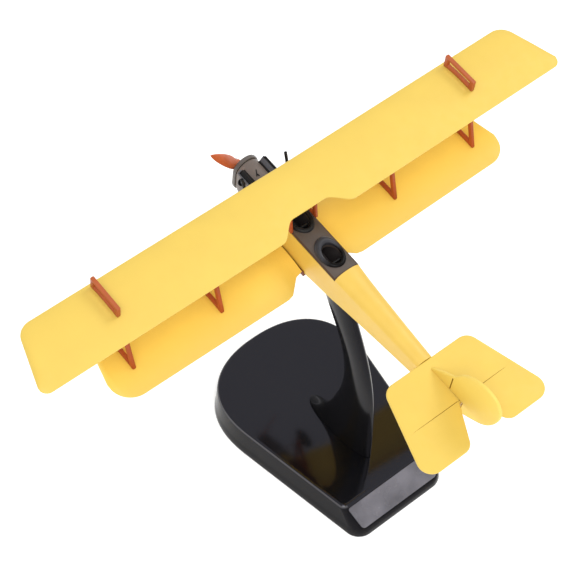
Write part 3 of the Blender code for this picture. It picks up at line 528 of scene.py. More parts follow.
# The rear coaming's padding is painted darker and less glossy towards its rear and right: a painted
# gradient of light and shade on the ring.
PADDING = finish("padding_blue_black", (0.030, 0.029, 0.033), 0.30, bump=0.02 * MM, mottle=0.2,
                 grain=1700.0, specular=0.28, painted_light_ramp=((0.0045, 0.0038, 0.0038), (-0.31, 0.95, 0.0),
                                                    world_lines((18.85, 21.05), DECK_RIDGE), 0.3))
TYRE = finish("tyre_black", (0.018, 0.018, 0.019), 0.62, bump=0.02 * MM, mottle=0.2)
STEEL = finish("bright_steel", (0.55, 0.54, 0.52), 0.28, bump=0.004 * MM, mottle=0.06, grain=1800.0,
               metallic=1.0)

LACQUER = {"mottle": 0.15, "grain": 160.0}
GLOSS = finish("gloss_black", (0.0035, 0.0035, 0.0042), 0.09, **LACQUER, specular=0.38)
GLOSS_PYLON = finish("gloss_black_pylon", (0.0048, 0.0046, 0.0050), 0.13, **LACQUER, specular=0.11)
# A less glossy copy of the black for the base's sides, darkening their reflections: painted shade.
GLOSS_SIDE_PAINTED_SHADE = finish("gloss_black_side_painted_shade", (0.0080, 0.0076, 0.0084), 0.16, **LACQUER, specular=0.06)
# A bluish-purple specular tint colours the blacks' reflections: painted reflection colour.
for black in (GLOSS, GLOSS_PYLON, GLOSS_SIDE_PAINTED_SHADE):
    tint = black.node_tree.nodes["Principled BSDF"].inputs["Specular Tint"]
    tint.default_value = (0.97, 0.94, 1.12, 1.0)
# A lighter black for a band of the base's top-edge rounding: a painted highlight.
EDGE_PAINTED_HIGHLIGHT = finish("edge_painted_highlight", (0.060, 0.058, 0.064), 0.25, mottle=0.2, grain=300.0,
                    specular=0.4)
PLATE = finish("grey_plate", (0.120, 0.115, 0.132), 0.26, mottle=0.34, grain=1100.0, specular=0.4)


# ---------------------------------------------------------------- wings

def half_thickness(s, scale):
    poly = 0.2969 * math.sqrt(s) - 0.126 * s - 0.3516 * s**2 + 0.2843 * s**3 - 0.1015 * s**4
    return (5 * WING_THICKNESS * poly + 0.1 * MM * s) * scale


def camber(s, scale):
    return 4 * WING_CAMBER * s * (1 - s) * scale


def rib(x, s):
    """Height of the slight ridge that each rib raises in the skin."""
    across = max(math.cos(2 * math.pi * x / RIB_PITCH), 0.0) ** 8
    return RIB_HEIGHT * across * min(1.0, 8 * s * (1 - s))


def wing_section(x, lead, trail, plane, chord, steps=20):
    """Closed aerofoil outline at one span station."""
    scale = min(1.0, 0.25 + 0.75 * (trail - lead) / chord * 1.6)
    stops = [0.5 - 0.5 * math.cos(math.pi * i / steps) for i in range(steps + 1)]
    top = [(s, camber(s, scale) + half_thickness(s, scale) + rib(x, s)) for s in stops]
    low = [(s, camber(s, scale) - half_thickness(s, scale) - rib(x, s)) for s in reversed(stops[1:])]
    return [(x, lead + s * (trail - lead), plane + h) for s, h in top + low]


def tip_edges(span_le, span_te, lead, trail, radius_le, radius_te):
    """Rounded tip outline, split into its leading and trailing halves at the widest point."""
    front = corner_arc((0, lead), (span_le, lead), (span_te, trail), radius_le, 16)
    back = corner_arc((span_le, lead), (span_te, trail), (0, trail), radius_te, 24)
    widest = max(range(len(back)), key=lambda i: back[i][0])
    return front + back[:widest + 1], list(reversed(back[widest:]))


def edge_at(edge, x):
    return float(np.interp(x, [p[0] for p in edge], [p[1] for p in edge]))


UPPER_LEAD, UPPER_TRAIL = tip_edges(UPPER_SPAN_LE, UPPER_SPAN_TE, 0.0, UPPER_CHORD, 3.7 * MM, 1.8 * MM)
LOWER_LEAD, LOWER_TRAIL = tip_edges(
    LOWER_SPAN_LE, LOWER_SPAN_TE, STAGGER, STAGGER + LOWER_CHORD, 2.0 * MM, 5.0 * MM)


def upper_plane(x):
    return CHORD_PLANE + abs(x) * math.tan(UPPER_DIHEDRAL)


def lower_plane(x):
    return LOWER_PLANE + abs(x) * math.tan(LOWER_DIHEDRAL)


def upper_trail(x):
    notch = 1 - smooth_step((abs(x) - CUTOUT_INNER) / (CUTOUT_OUTER - CUTOUT_INNER))
    return edge_at(UPPER_TRAIL, abs(x)) - CUTOUT_DEPTH * notch


def lower_trail(x):
    """The root is cut away behind the fuselage joint."""
    root = [(0.0, 15.4), (3.5, 15.4), (5.2, 15.8), (8.4, 18.75), (9.8, 19.1)]
    cut = float(np.interp(abs(x), [p[0] * MM for p in root], [p[1] * MM for p in root]))
    return min(cut, edge_at(LOWER_TRAIL, abs(x)))


def upper_section(x):
    return wing_section(x, edge_at(UPPER_LEAD, abs(x)), upper_trail(x), upper_plane(x), UPPER_CHORD)


def lower_section(x):
    return wing_section(x, edge_at(LOWER_LEAD, abs(x)), lower_trail(x), lower_plane(x), LOWER_CHORD)


def span_stations(root, leading, trailing):
    """Even stations from the root, closer together round the tip."""
    widest = leading[-1][0] - 0.04 * MM
    tip = sorted({round(p[0], 6) for p in leading + trailing})
    step = RIB_PITCH / 8
    inner = list(np.arange(root, tip[0] - step, step))
    return inner + [x for x in tip if x < widest - 0.01 * MM] + [widest]


def make_wings():
    half = span_stations(0.0, UPPER_LEAD, UPPER_TRAIL)[1:]
    stations = [-x for x in reversed(half)] + [0.0] + half
    shape = loft([upper_section(x) for x in stations])
    piece("upper_wing_skin", shape, AIRCRAFT, "aircraft", YELLOW, ["upper_wing"], 50)
    for side, hand in ((1, "left"), (-1, "right")):
        rings = [lower_section(side * x) for x in span_stations(LOWER_ROOT, LOWER_LEAD, LOWER_TRAIL)]
        piece(f"lower_wing_skin_{hand}", loft(rings), AIRCRAFT, "aircraft", YELLOW_LOWER_PAINTED_LIGHT,
              [f"lower_wing_{hand}"], 50)


def make_struts():
    frames = [("interplane_frame_inner", 0.25, BROWN), ("interplane_frame_outer", 0.25, BROWN),
              ("king_post_frame", 0.22, ORANGE), ("cabane_frame", 0.2, BROWN),
              ("undercarriage_leg", 0.2, BROWN)]
    for hand in ("left", "right"):
        for name, width, material in frames:
            eased_copy(f"{name}_{hand}", "aircraft", material, width * MM)
    eased_copy("undercarriage_plate", "aircraft", PLATE_BROWN_PAINTED_SHADE, 0.05 * MM, 2)


# ---------------------------------------------------------------- fuselage

def body_ring(y, half_width, bottom, shoulder, ridge, ease=0.35 * MM):
    """Fuselage outline: flat belly with rounded corners, upright sides and a rounded back."""
    half = []
    for i in range(6):
        a = math.pi / 2 * i / 5
        half.append((half_width - ease + ease * math.sin(a), bottom + ease - ease * math.cos(a)))
    half.append((half_width, (bottom + shoulder) / 2))
    for i in range(14):
        a = math.pi / 2 * i / 14
        half.append((half_width * math.cos(a), shoulder + (ridge - shoulder) * math.sin(a)))
    other_half = [(-u, v) for u, v in reversed(half)]
    return [(u, y, v) for u, v in half + [(0.0, ridge)] + other_half]


def make_fuselage():
    top = BODY_TOP / MM
    seat = TAIL_SEAT / MM
    front = [(2.05, 3.2, 0.0, top - 0.03, top), (16.0, 3.2, 0.0, top - 0.03, top),
             (24.28, 3.1, 1.204, top - 0.03, top)]
    back = [(24.32, 3.1, 1.21, 8.72, 10.1), (27.0, 2.95, 1.6, 8.35, 9.95),
            (36.0, 2.5, 2.55, 7.8, 9.4), (48.33, 1.93, 3.68, 7.45, 8.47)]
    stern = [(48.34, 1.93, 3.68, seat - 0.03, seat), (STERN / MM, 0.5, 4.75, seat - 0.03, seat)]
    rings = rings_from(front + curve_through(back, 24) + stern, body_ring)
    tub = box(TUB_CENTRE, TUB_SIZE)
    socket = loft([oval(PEG, 0.1 * MM, height) for height in (PEG_TOP - 7.9 * MM, PEG_TOP)])
    shape = combine(loft(rings), [tub, placed(socket, AIRCRAFT.inverted() @ STAND)])
    body = piece("fuselage_skin", shape, AIRCRAFT, "aircraft", YELLOW_PAINT, ["fuselage_body"], 32)

    def in_tub(*point):
        margin = 0.02 * MM
        inside = all(abs(p - c) < length / 2 + margin
                     for p, c, length in zip(point, TUB_CENTRE, TUB_SIZE))
        return inside and point[2] < BODY_TOP - margin

    repaint(body, AIRCRAFT, INTERIOR, in_tub)
    rings = [body_ring(y, DECK_HALF_WIDTH, BODY_TOP + FIT, DECK_EDGE, DECK_RIDGE, 0.08 * MM)
             for y in (DECK_FRONT, DECK_REAR - 0.28 * MM, DECK_REAR)]
    holes = [loft([ellipse_ring(c, 0.1 * MM, lambda x, y: z) for z in (8.0 * MM, 10.5 * MM)])
             for c in (FRONT_COCKPIT, REAR_COCKPIT)]
    deck = combine(loft(rings), holes)
    deck_item = piece("cockpit_deck_skin", deck, AIRCRAFT, "aircraft", TAUPE_DECK_PAINTED_SHADE, ["cockpit_deck"], 40)
    # The deck's side and rear edges are painted dark brown: painted shade in the gap along the deck's
    # edge.
    repaint(deck_item, AIRCRAFT, DECK_EDGE_PAINTED_SHADE,
            lambda u, v, w: abs(u) > 2.9 * MM or v > DECK_REAR - 0.27 * MM)
    # The front coaming takes the near-black: painted shade from the upper wing.
    for cockpit, hand, padding in ((FRONT_COCKPIT, "front", BLACK_AND_PAINTED_SHADE), (REAR_COCKPIT, "rear", PADDING)):
        make_coaming(f"{hand}_cockpit_coaming", cockpit, padding)
        eased_copy(f"{hand}_seat", "aircraft", BLACK_AND_PAINTED_SHADE, 0.2 * MM)


def deck_height(x):
    return DECK_EDGE + (DECK_RIDGE - DECK_EDGE) * math.sqrt(max(0.0, 1 - (x / DECK_HALF_WIDTH) ** 2))


def ellipse_ring(shape, grow, height, sides=64):
    """Oval given by its centre, half width and half length; height(x, y) lifts each point."""
    centre, half_x, half_y = shape
    return circle(1.0, sides, lambda u, v: (
        u * (half_x + grow), centre + v * (half_y + grow),
        height(u * (half_x + grow), centre + v * (half_y + grow))))


def make_coaming(node, cockpit, padding):
    """Padded rim, broad and high in front of the crew member and low behind."""
    centre, half_x, half_y = cockpit
    outer = (centre - 0.5 * MM, half_x, half_y + 0.45 * MM)

    def crest(y):
        forward = smooth_step((centre + 0.6 * MM - y) / (2 * half_y))
        return deck_height(0.0) + (0.45 + 0.9 * forward) * MM

    def between(share, lift):
        """The ring between the outer foot (share 0) and the inner lip (share 1)."""
        shape = [a + (b - a) * share for a, b in zip(outer, cockpit)]
        grow = 0.95 * MM * (1 - share)

        def height(x, y):
            foot = deck_height(x) + FIT
            return foot + (crest(y) - foot) * lift

        return ellipse_ring(shape, grow, height)

    profile = [(0.0, 0.0), (0.0, 0.25), (0.06, 0.48), (0.18, 0.72), (0.36, 0.9), (0.56, 0.99),
               (0.74, 1.0), (0.88, 0.93), (0.97, 0.78), (1.0, 0.55), (1.0, 0.0)]
    rings = [between(share, lift) for share, lift in profile]
    piece(node + "_padding", loft(rings, hollow=True), AIRCRAFT, "aircraft", padding, [node], 60)


# ---------------------------------------------------------------- nose

def nose_ring(y, inset_by=0.0):
    return body_ring(y, 3.0 * MM - inset_by, 0.5 * MM + inset_by, 7.0 * MM, 10.2 * MM - inset_by,
                     2.8 * MM - inset_by)


def on_thrust_line(u, v, w):
    return (u, w, THRUST_LINE + v)


def bank_place(side):
    x, y, z = BANK_CENTRE
    lean = Matrix.Rotation(side * BANK_LEAN, 4, "Y")
    return Matrix.Translation((side * x, y, z)) @ lean


def make_nose():
    rows = [(-7.8, 2.75, 0.95, 7.0, 9.8, 2.5), (-7.0, 2.9, 0.6, 7.1, 10.0, 2.4),
            (-3.0, 3.15, 0.1, 7.8, 9.95, 1.3), (1.95, 3.2, 0.0, 8.85, 9.5, 0.35)]
    rings = rings_from(curve_through(rows, 30), body_ring)
    cuts = [turned([(0.42 * MM, -8.5 * MM), (0.42 * MM, -2.8 * MM)], 24, on_thrust_line)]
    space = box((0, 0, 0), [length + 0.2 * MM for length in BANK_SIZE])
    cuts += [placed(space, bank_place(side)) for side in (1, -1)]
    piece("engine_cowling_skin", combine(loft(rings), cuts), AIRCRAFT, "aircraft", TAUPE,
          ["engine_cowling"], 32)
    make_intake()
    pipes = {"long": [(0.0, -5.03, 10.02), (0.81, -3.68, 9.92)],
             "short": [(0.5, -4.2, 9.96), (0.3, -3.46, 9.97)]}
    for label, ends in pipes.items():
        points = [Vector(end) * MM for end in ends]
        piece(f"priming_pipe_{label}", tube(points, 0.15 * MM, 12), AIRCRAFT, "aircraft", BLACK_AND_PAINTED_SHADE,
              ["engine_cowling"])
    lip = RADIATOR_LIP
    rings = [nose_ring(RADIATOR_REAR, 0.12 * MM), nose_ring(RADIATOR_REAR - 0.12 * MM)]
    for i in range(6):
        a = math.pi / 2 * i / 5
        rings.append(nose_ring(RADIATOR_FRONT + lip - lip * math.sin(a), lip * (1 - math.cos(a))))
    rings += [nose_ring(RADIATOR_FRONT, RADIATOR_WALL), nose_ring(RADIATOR_REAR, RADIATOR_WALL)]
    piece("radiator_shell_skin", loft(rings, hollow=True), AIRCRAFT, "aircraft", TAUPE_DARK,
          ["radiator_shell"], 40)
    make_core()
    for side, hand in ((1, "left"), (-1, "right")):
        make_bank(side, hand)
        make_exhaust(side, hand)


def make_intake():
    """A short round intake on the cowling's left, pointing outwards and up, with a pin in its mouth."""
    turn = Matrix.Translation(INTAKE) @ Vector(INTAKE_AXIS).to_track_quat("Z", "Y").to_matrix().to_4x4()
    radius = INTAKE_RADIUS / MM
    rows = [(radius * 0.74, -0.3), (radius * 0.74, 0.3), (radius * 0.86, 0.4), (radius, 0.32),
            (radius, -0.5), (radius * 0.9, -0.9), (0.1, -0.9), (0.1, -0.3)]
    horn = turned([(r * MM, h * MM) for r, h in rows], 28, as_drawn, hollow=True)
    piece("engine_intake_horn", horn, AIRCRAFT @ turn, "aircraft", BLACK_AND_PAINTED_SHADE, ["engine_cowling"], 40)
    pin = turned([(r * MM, h * MM) for r, h in ((0.2, -0.5), (0.2, 0.2), (0.12, 0.28))], 16, as_drawn)
    piece("engine_intake_pin", pin, AIRCRAFT @ turn, "aircraft", STEEL, ["engine_cowling"])


def make_core():
    """Face of the radiator, with fine upright slots in front."""
    face = RADIATOR_FRONT + CORE_RECESS
    outlines = [nose_ring(y, RADIATOR_WALL + FIT) for y in (RADIATOR_REAR, face)]
    holes = []
    for ring in reversed(outlines):
        edge = []
        for x, y, z in ring:
            away = Vector((x, z - THRUST_LINE)).normalized() * (0.62 * MM)
            edge.append((away.x, y, THRUST_LINE + away.y))
        holes.append(edge)
    slots = [box((i * 0.38 * MM, face, 5.8 * MM), (0.16 * MM, 0.3 * MM, 11.4 * MM))
             for i in range(-5, 6)]
    core = combine(loft(outlines + holes, hollow=True), slots)
    piece("radiator_core_slats", core, AIRCRAFT, "aircraft", ENGINE, ["radiator_core"], 30)


def make_bank(side, hand):
    """A row of cylinders in one block with a sunken top, leaning outwards in the cowling."""
    width, length, height = (size / 2 for size in BANK_SIZE)
    corners = [(-width, -length), (width, -length), (width, length), (-width, length)]
    block = plate(rounded(corners, [0.22 * MM] * 4, 5), -height, height, 0.1 * MM, as_drawn)
    wall, end = 0.45 * MM, 0.35 * MM
    inner = -side * width
    reach = 2 * width - wall
    pocket = box((inner + side * reach / 2, 0, height),
                 (reach + 0.2 * MM, 2 * (length - end), 0.5 * MM))
    place = AIRCRAFT @ bank_place(side)
    item = piece(f"cylinder_block_{hand}", combine(block, [pocket]), place, "aircraft", CYLINDER,
                 [f"cylinder_bank_{hand}"])

    def in_pocket(u, v, w):
        inside = side * u < width - wall + 0.11 * MM and abs(v) < length - end + 0.01 * MM
        return inside and height - 0.3 * MM < w < height - 0.02 * MM

    # The sunken top of the block is painted near-black: painted shade in the recess.
    repaint(item, place, BLACK_AND_PAINTED_SHADE, in_pocket)
    # A thin near-black strip along the block's inner side, where there is only shade between block and
    # cowling, taller on the left bank: painted shade.
    foot, top = -0.85 * MM, (0.72 if side > 0 else -0.32) * MM
    painted_shade_strip = box((inner, 0, (top + foot) / 2), (0.12 * MM, 2 * length - 0.3 * MM, top - foot))
    piece(f"cylinder_painted_shade_strip_{hand}", painted_shade_strip, place, "aircraft", BLACK_AND_PAINTED_SHADE, [f"cylinder_bank_{hand}"])


def make_exhaust(side, hand):
    """A pipe that turns up out of the cowling, with a hollow mouth."""
    rows = [(3.5, -1.2, 8.0), (4.4, -1.3, 8.5), (5.1, -1.5, 9.8), (5.45, -1.9, 11.5), (5.6, -2.9, 14.1)]
    ordered = curve_through([(i, *row) for i, row in enumerate(rows)], 28)
    points = [Vector((side * row[1], row[2], row[3])) * MM for row in ordered]
    radius = EXHAUST_RADIUS
    pipe = tube(points, radius)
    along = (points[-1] - points[-2]).normalized()
    turn = Matrix.Translation(points[-1]) @ along.to_track_quat("Z", "Y").to_matrix().to_4x4()
    bore = turned([(radius * 0.6, -0.5 * MM), (radius * 0.6, 0.3 * MM)], 20, as_drawn)
    piece(f"exhaust_pipe_{hand}", combine(pipe, [placed(bore, turn)]), AIRCRAFT, "aircraft", BLACK_AND_PAINTED_SHADE,
          [f"exhaust_stack_{hand}"], 40)


# ---------------------------------------------------------------- propeller

def make_propeller():
    blade = [(0.6, 0.75, 0.6), (1.05, 0.98, 0.72), (1.6, 1.15, 0.55), (3.0, 1.38, 0.36),
             (5.0, 1.36, 0.28), (7.0, 1.2, 0.22), (9.0, 0.95, 0.18), (11.0, 0.6, 0.14),
             (12.2, 0.28, 0.1), (12.8, 0.06, 0.05)]
    rows = curve_through(blade, 40)
    solids = []
    for side in (1, -1):
        rings = []
        for reach, half_chord, half_depth in rows:
            pitch = math.radians(BLADE_TWIST * reach + BLADE_PITCH) * side
            rings.append(circle(1.0, 28, lambda u, v: (
                side * reach * MM,
                (u * half_chord * math.sin(pitch) * side + v * half_depth * math.cos(pitch)) * MM,
                (u * half_chord * math.cos(pitch) - v * half_depth * math.sin(pitch) * side) * MM)))
        solids.append(loft(rings))
    bore = SHAFT_RADIUS + 0.03 * MM
    edge = [(0.78, -0.85), (0.88, -0.78), (0.92, -0.62), (0.92, 0.62), (0.88, 0.78), (0.78, 0.85)]
    boss = turned(bored(bore, edge), 40, lambda u, v, w: (u, w, v), hollow=True)
    through = turned([(bore, -2 * MM), (bore, 2 * MM)], 32, lambda u, v, w: (u, w, v))
    shape = combine(combine(boss, solids, "UNION"), [through])
    hub = Matrix.Translation((0, PROPELLER_Y, THRUST_LINE))
    place = AIRCRAFT @ hub @ Matrix.Rotation(-PROPELLER_ANGLE, 4, "Y")
    piece("propeller_blades", shape, place, "propeller", BLADE, ["propeller"], 50)
    radius = SHAFT_RADIUS
    shaft = [(radius * 0.6, -12.1), (radius, -12.0), (radius, -3.1)]
    rod = turned([(r, h * MM) for r, h in shaft], 24, on_thrust_line)
    piece("propeller_shaft_rod", rod, AIRCRAFT, "propeller", STEEL, ["propeller_shaft"])
    nut = [(0.75, -11.42), (0.75, -11.68), (0.68, -11.8), (0.55, -11.93), (0.5, -12.0)]
    cap = turned(bored(bore, nut), 6, on_thrust_line, hollow=True)
    piece("propeller_nut_cap", cap, AIRCRAFT, "propeller", STEEL, ["propeller_nut"], 20)


def bored(bore, rows):
    """Profile in metres of a turned part from its outer edge in millimetres and its bore's radius."""
    outer = [(r * MM, h * MM) for r, h in rows]
    return [(bore, outer[0][1])] + outer + [(bore, outer[-1][1])]


# ---------------------------------------------------------------- undercarriage

def make_undercarriage():
    def across(u, v, w):
        return (w, AXLE_Y + u, AXLE_Z + v)

    head, end = 0.62 * MM, 8.75 * MM
    neck = end - 0.35 * MM
    half = [(AXLE_RADIUS, neck), (head, neck), (head, end - 0.12 * MM), (head * 0.75, end)]
    profile = [(r, -h) for r, h in reversed(half)] + half
    piece("wheel_axle_rod", turned(profile, 24, across), AIRCRAFT, "aircraft", STEEL, ["wheel_axle"])
    for side, hand in ((1, "left"), (-1, "right")):
        def centred(u, v, w):
            return (side * WHEEL_X + w, AXLE_Y + u, AXLE_Z + v)

        bore = AXLE_RADIUS + 0.05 * MM
        rim = WHEEL_RADIUS - 0.75 * MM
        half = [(bore, 0.7 * MM), (0.68 * MM, 0.7 * MM), (0.8 * MM, 0.6 * MM), (1.2 * MM, 0.5 * MM),
                (rim - 0.25 * MM, 0.3 * MM), (rim - 0.1 * MM, 0.36 * MM), (rim, 0.3 * MM)]
        disc = turned([(r, -h) for r, h in half] + list(reversed(half)), 48, centred, hollow=True)
        piece(f"wheel_disc_{hand}", disc, AIRCRAFT, f"wheel_{hand}", TAUPE, [f"wheel_{hand}"], 40)
        inside = rim + 0.04 * MM
        flank = inside + 0.18 * MM
        turns = [math.pi * i / 14 for i in range(15)]
        tread = [(flank + (WHEEL_RADIUS - flank) * math.sin(a), -0.65 * MM * math.cos(a))
                 for a in turns]
        tread = [(inside, -0.4 * MM)] + tread + [(inside, 0.4 * MM)]
        piece(f"tyre_ring_{hand}", turned(tread, 64, centred, hollow=True), AIRCRAFT, f"wheel_{hand}",
              TYRE, [f"tyre_{hand}"], 50)


# ---------------------------------------------------------------- tail

def make_tail():
    notch = (0.55 * MM, STERN - 0.15 * MM)
    heel = (5.0 * MM, TAIL_TRAIL)
    tip = (TAIL_SPAN_TE, TAIL_TRAIL)
    shoulder = (TAIL_SPAN_LE, TAIL_LEAD)
    half = [notch]
    half += corner_arc(notch, heel, tip, 2.4 * MM, 12)
    half += corner_arc(heel, tip, shoulder, 2.9 * MM, 16)
    half += corner_arc(tip, shoulder, (0.0, TAIL_LEAD), 2.8 * MM, 14)
    other_half = [(-u, v) for u, v in reversed(half)]
    outline = list(reversed(other_half + half))
    shape = plate(outline, TAIL_TOP - TAIL_THICKNESS, TAIL_TOP, 0.3 * MM, as_drawn, 5)
    shape = combine(shape, [hinge_groove(side) for side in (1, -1)])
    tail = piece("tailplane_skin", shape, AIRCRAFT, "aircraft", YELLOW, ["tailplane"], 32)
    repaint(tail, AIRCRAFT, GROOVE, lambda u, v, w: (
        abs(v - ELEVATOR_HINGE) < 0.12 * MM and TAIL_TOP - 0.2 * MM < w < TAIL_TOP - 0.001 * MM))
    make_fin()
    rows = [(0, 54.2, 3.92), (1, 56.6, 2.5), (2, 58.4, 1.75), (3, 60.0, 1.6)]
    path = curve_through(rows, 20)
    points = [(0, row[1] * MM, row[2] * MM) for row in path]
    bar = tube(points, 0.32 * MM)
    piece("tail_skid_bar", bar, AIRCRAFT, "aircraft", ORANGE, ["tail_skid"], 40)


def hinge_groove(side):
    """A scribed line across the tailplane, deepest beside the fin and fading out towards the tip."""
    width, deep = 0.085 * MM, 0.16 * MM
    rings = []
    for x, depth in ((0.8, deep), (6.0, deep * 0.8), (12.3, 0.0)):
        rings.append([(side * x * MM, ELEVATOR_HINGE - width, TAIL_TOP + 0.05 * MM),
                      (side * x * MM, ELEVATOR_HINGE + width, TAIL_TOP + 0.05 * MM),
                      (side * x * MM, ELEVATOR_HINGE, TAIL_TOP - depth)])
    return loft(rings)


def make_fin():
    low = TAIL_TOP / MM + 0.06
    stern = STERN / MM + 0.2
    outline = [(50.3, low), (stern, low), (stern, 4.55), (60.6, 5.0), (64.7, 7.8), (66.7, 10.2),
               (68.0, 13.4), (68.4, 16.4), (67.6, 18.7), (66.0, 20.1), (63.8, 20.5), (61.4, 19.9),
               (59.2, 18.5), (57.3, 16.3), (55.9, 13.7), (53.0, 11.2)]
    points = [(u * MM, v * MM) for u, v in smooth_outline(outline, sharp=4)]
    shape = plate(points, -0.35 * MM, 0.35 * MM, 0.3 * MM, lambda u, v, w: (w, u, v), 5)
    grooves = []
    for side in (1, -1):
        y, width = RUDDER_HINGE, 0.17 * MM
        deep, mouth, clear = (side * x * MM for x in (0.1, 0.4, 0.6))
        grooves.append(loft([[(deep, y, z), (mouth, y - width, z), (mouth, y + width, z)]
                             for z in (8.0 * MM, 13.0 * MM)]))
        section = ((deep, 0.05), (clear, -0.05), (clear, 0.29), (deep, 0.19))
        grooves.append(loft([[(x, v, TAIL_TOP + rise * MM) for x, rise in section]
                             for v in (RUDDER_HINGE, 59.6 * MM)]))
    fin = piece("fin_and_rudder_skin", combine(shape, grooves), AIRCRAFT, "aircraft", YELLOW_FIN_PAINTED_LIGHT,
                ["fin_and_rudder"], 32)

    def in_groove(u, v, w):
        if abs(v - RUDDER_HINGE) < 0.16 * MM and w < 13.2 * MM:
            return abs(u) < 0.345 * MM
        return v > RUDDER_HINGE and w < TAIL_TOP + 0.3 * MM and 0.1 * MM < abs(u) < 0.345 * MM

    repaint(fin, AIRCRAFT, GROOVE, in_groove)


def smooth_outline(points, sharp, steps=4):
    """A closed curve through an outline's points, with its first few corners left sharp."""
    count = len(points)
    out = []
    for i in range(count):
        p, q, r, s = (Vector(points[(i + k) % count]) for k in (-1, 0, 1, 2))
        out.append(tuple(q))
        if i < sharp - 1 or i == count - 1:
            continue
        if i == sharp - 1:
            p = q
        for k in range(1, steps):
            t = k / steps
            point = 0.5 * (2 * q + (r - p) * t + (2 * p - 5 * q + 4 * r - s) * t**2
                           + (3 * q - p - 3 * r + s) * t**3)
            out.append(tuple(point))
    return out


# ---------------------------------------------------------------- stand

def belly_point(y, z):
    """Level aircraft coordinates to stand coordinates."""
    point = STAND.inverted() @ AIRCRAFT @ Vector((0.0, y, z))
    return point.y, point.z


def belly_height(y):
    line = [belly_point(u * MM, v * MM) for u, v in ((16.0, 0.0), (27.0, 1.6))]
    return float(np.interp(y, [p[0] for p in line], [p[1] for p in line])) - 2 * FIT


def oval(shape, grow, height):
    return ellipse_ring(shape, grow, lambda x, y: height, 48)


def pylon_ring(front, rear, half_width, height, fullness=LENS_FULLNESS):
    """Lens-shaped section with narrow front and rear edges, or blunt ones for a low fullness."""
    middle, reach = (front + rear) / 2, (rear - front) / 2
    ring = []
    for i in range(48):
        a = 2 * math.pi * i / 48
        power = fullness if math.sin(a) < 0 else LENS_FULLNESS
        bulge = math.copysign(abs(math.cos(a)) ** power, math.cos(a))
        y = middle + reach * math.sin(a)
        ring.append((half_width * bulge, y, height(y)))
    return ring


def make_pylon():
    table = [(8.06, 15.0, 35.3, 2.3), (8.2, 14.92, 35.38, 2.34), (8.45, 14.9, 35.42, 2.33),
             (8.7, 15.05, 35.45, 2.31), (9.0, 15.6, 35.47, 2.29), (9.5, 16.6, 35.5, 2.26),
             (11.0, 18.7, 35.5, 2.2), (14.0, 20.9, 35.6, 2.08), (19.0, 22.9, 35.6, 1.95),
             (24.0, 24.5, 35.6, 1.8), (30.0, 25.6, 35.3, 1.7), (36.0, 25.7, 34.5, 1.65),
             (42.0, 24.7, 33.1, 1.6), (48.0, 22.5, 31.1, 1.6), (54.0, 19.5, 28.8, 1.6)]
    foot = [row for row in curve_through(table[:6], 24) if row[0] < 9.0]
    rows = foot + curve_through(table[4:], 60)
    rings = [oval(TENON, 0.0, 3.6 * MM), oval(TENON, 0.0, 8.06 * MM)]
    for height, front, rear, half_width in rows:
        fullness = 0.75 + 0.5 * smooth_step((height - 8.8) / 6.0)
        rings.append(pylon_ring(front * MM, rear * MM, half_width * MM,
                                lambda y: height * MM, fullness))
    rings.append(pylon_ring(17.0 * MM, 26.7 * MM, 1.6 * MM, belly_height))
    rings.append([(x, y, belly_height(y)) for x, y, z in oval(PEG, 0.0, 0.0)])
    rings.append(oval(PEG, 0.0, PEG_TOP))
    piece("stand_pylon_skin", loft(rings), STAND, "stand", GLOSS_PYLON, ["stand_pylon"], 38)


def base_outline(height, shrink, rear, corner):
    """D-shaped outline: a round front, tapering sides and a straight rear with rounded corners."""
    nose = BASE_FRONT + shrink
    count = 56
    half = []
    for i in range(count):
        a = math.pi / 2 * i / (count - 1)
        y = BASE_SHOULDER - (BASE_SHOULDER - nose) * max(math.cos(a), 0.0) ** (2 / BASE_ROUNDNESS)
        wide = BASE_HALF_WIDTH - shrink + (BASE_SHOULDER - y) * math.tan(BASE_TAPER)
        half.append((wide * math.sin(a) ** (2 / BASE_ROUNDNESS), y))
    edge_x, edge_y = half[-1]
    tail_x = edge_x - (rear - edge_y) * math.tan(BASE_TAPER)
    half += corner_arc((edge_x, edge_y), (tail_x, rear), (0.0, rear), corner, 14)
    other_half = [(-x, y) for x, y in reversed(half[1:])]
    return [(x, y, height) for x, y in half + other_half]


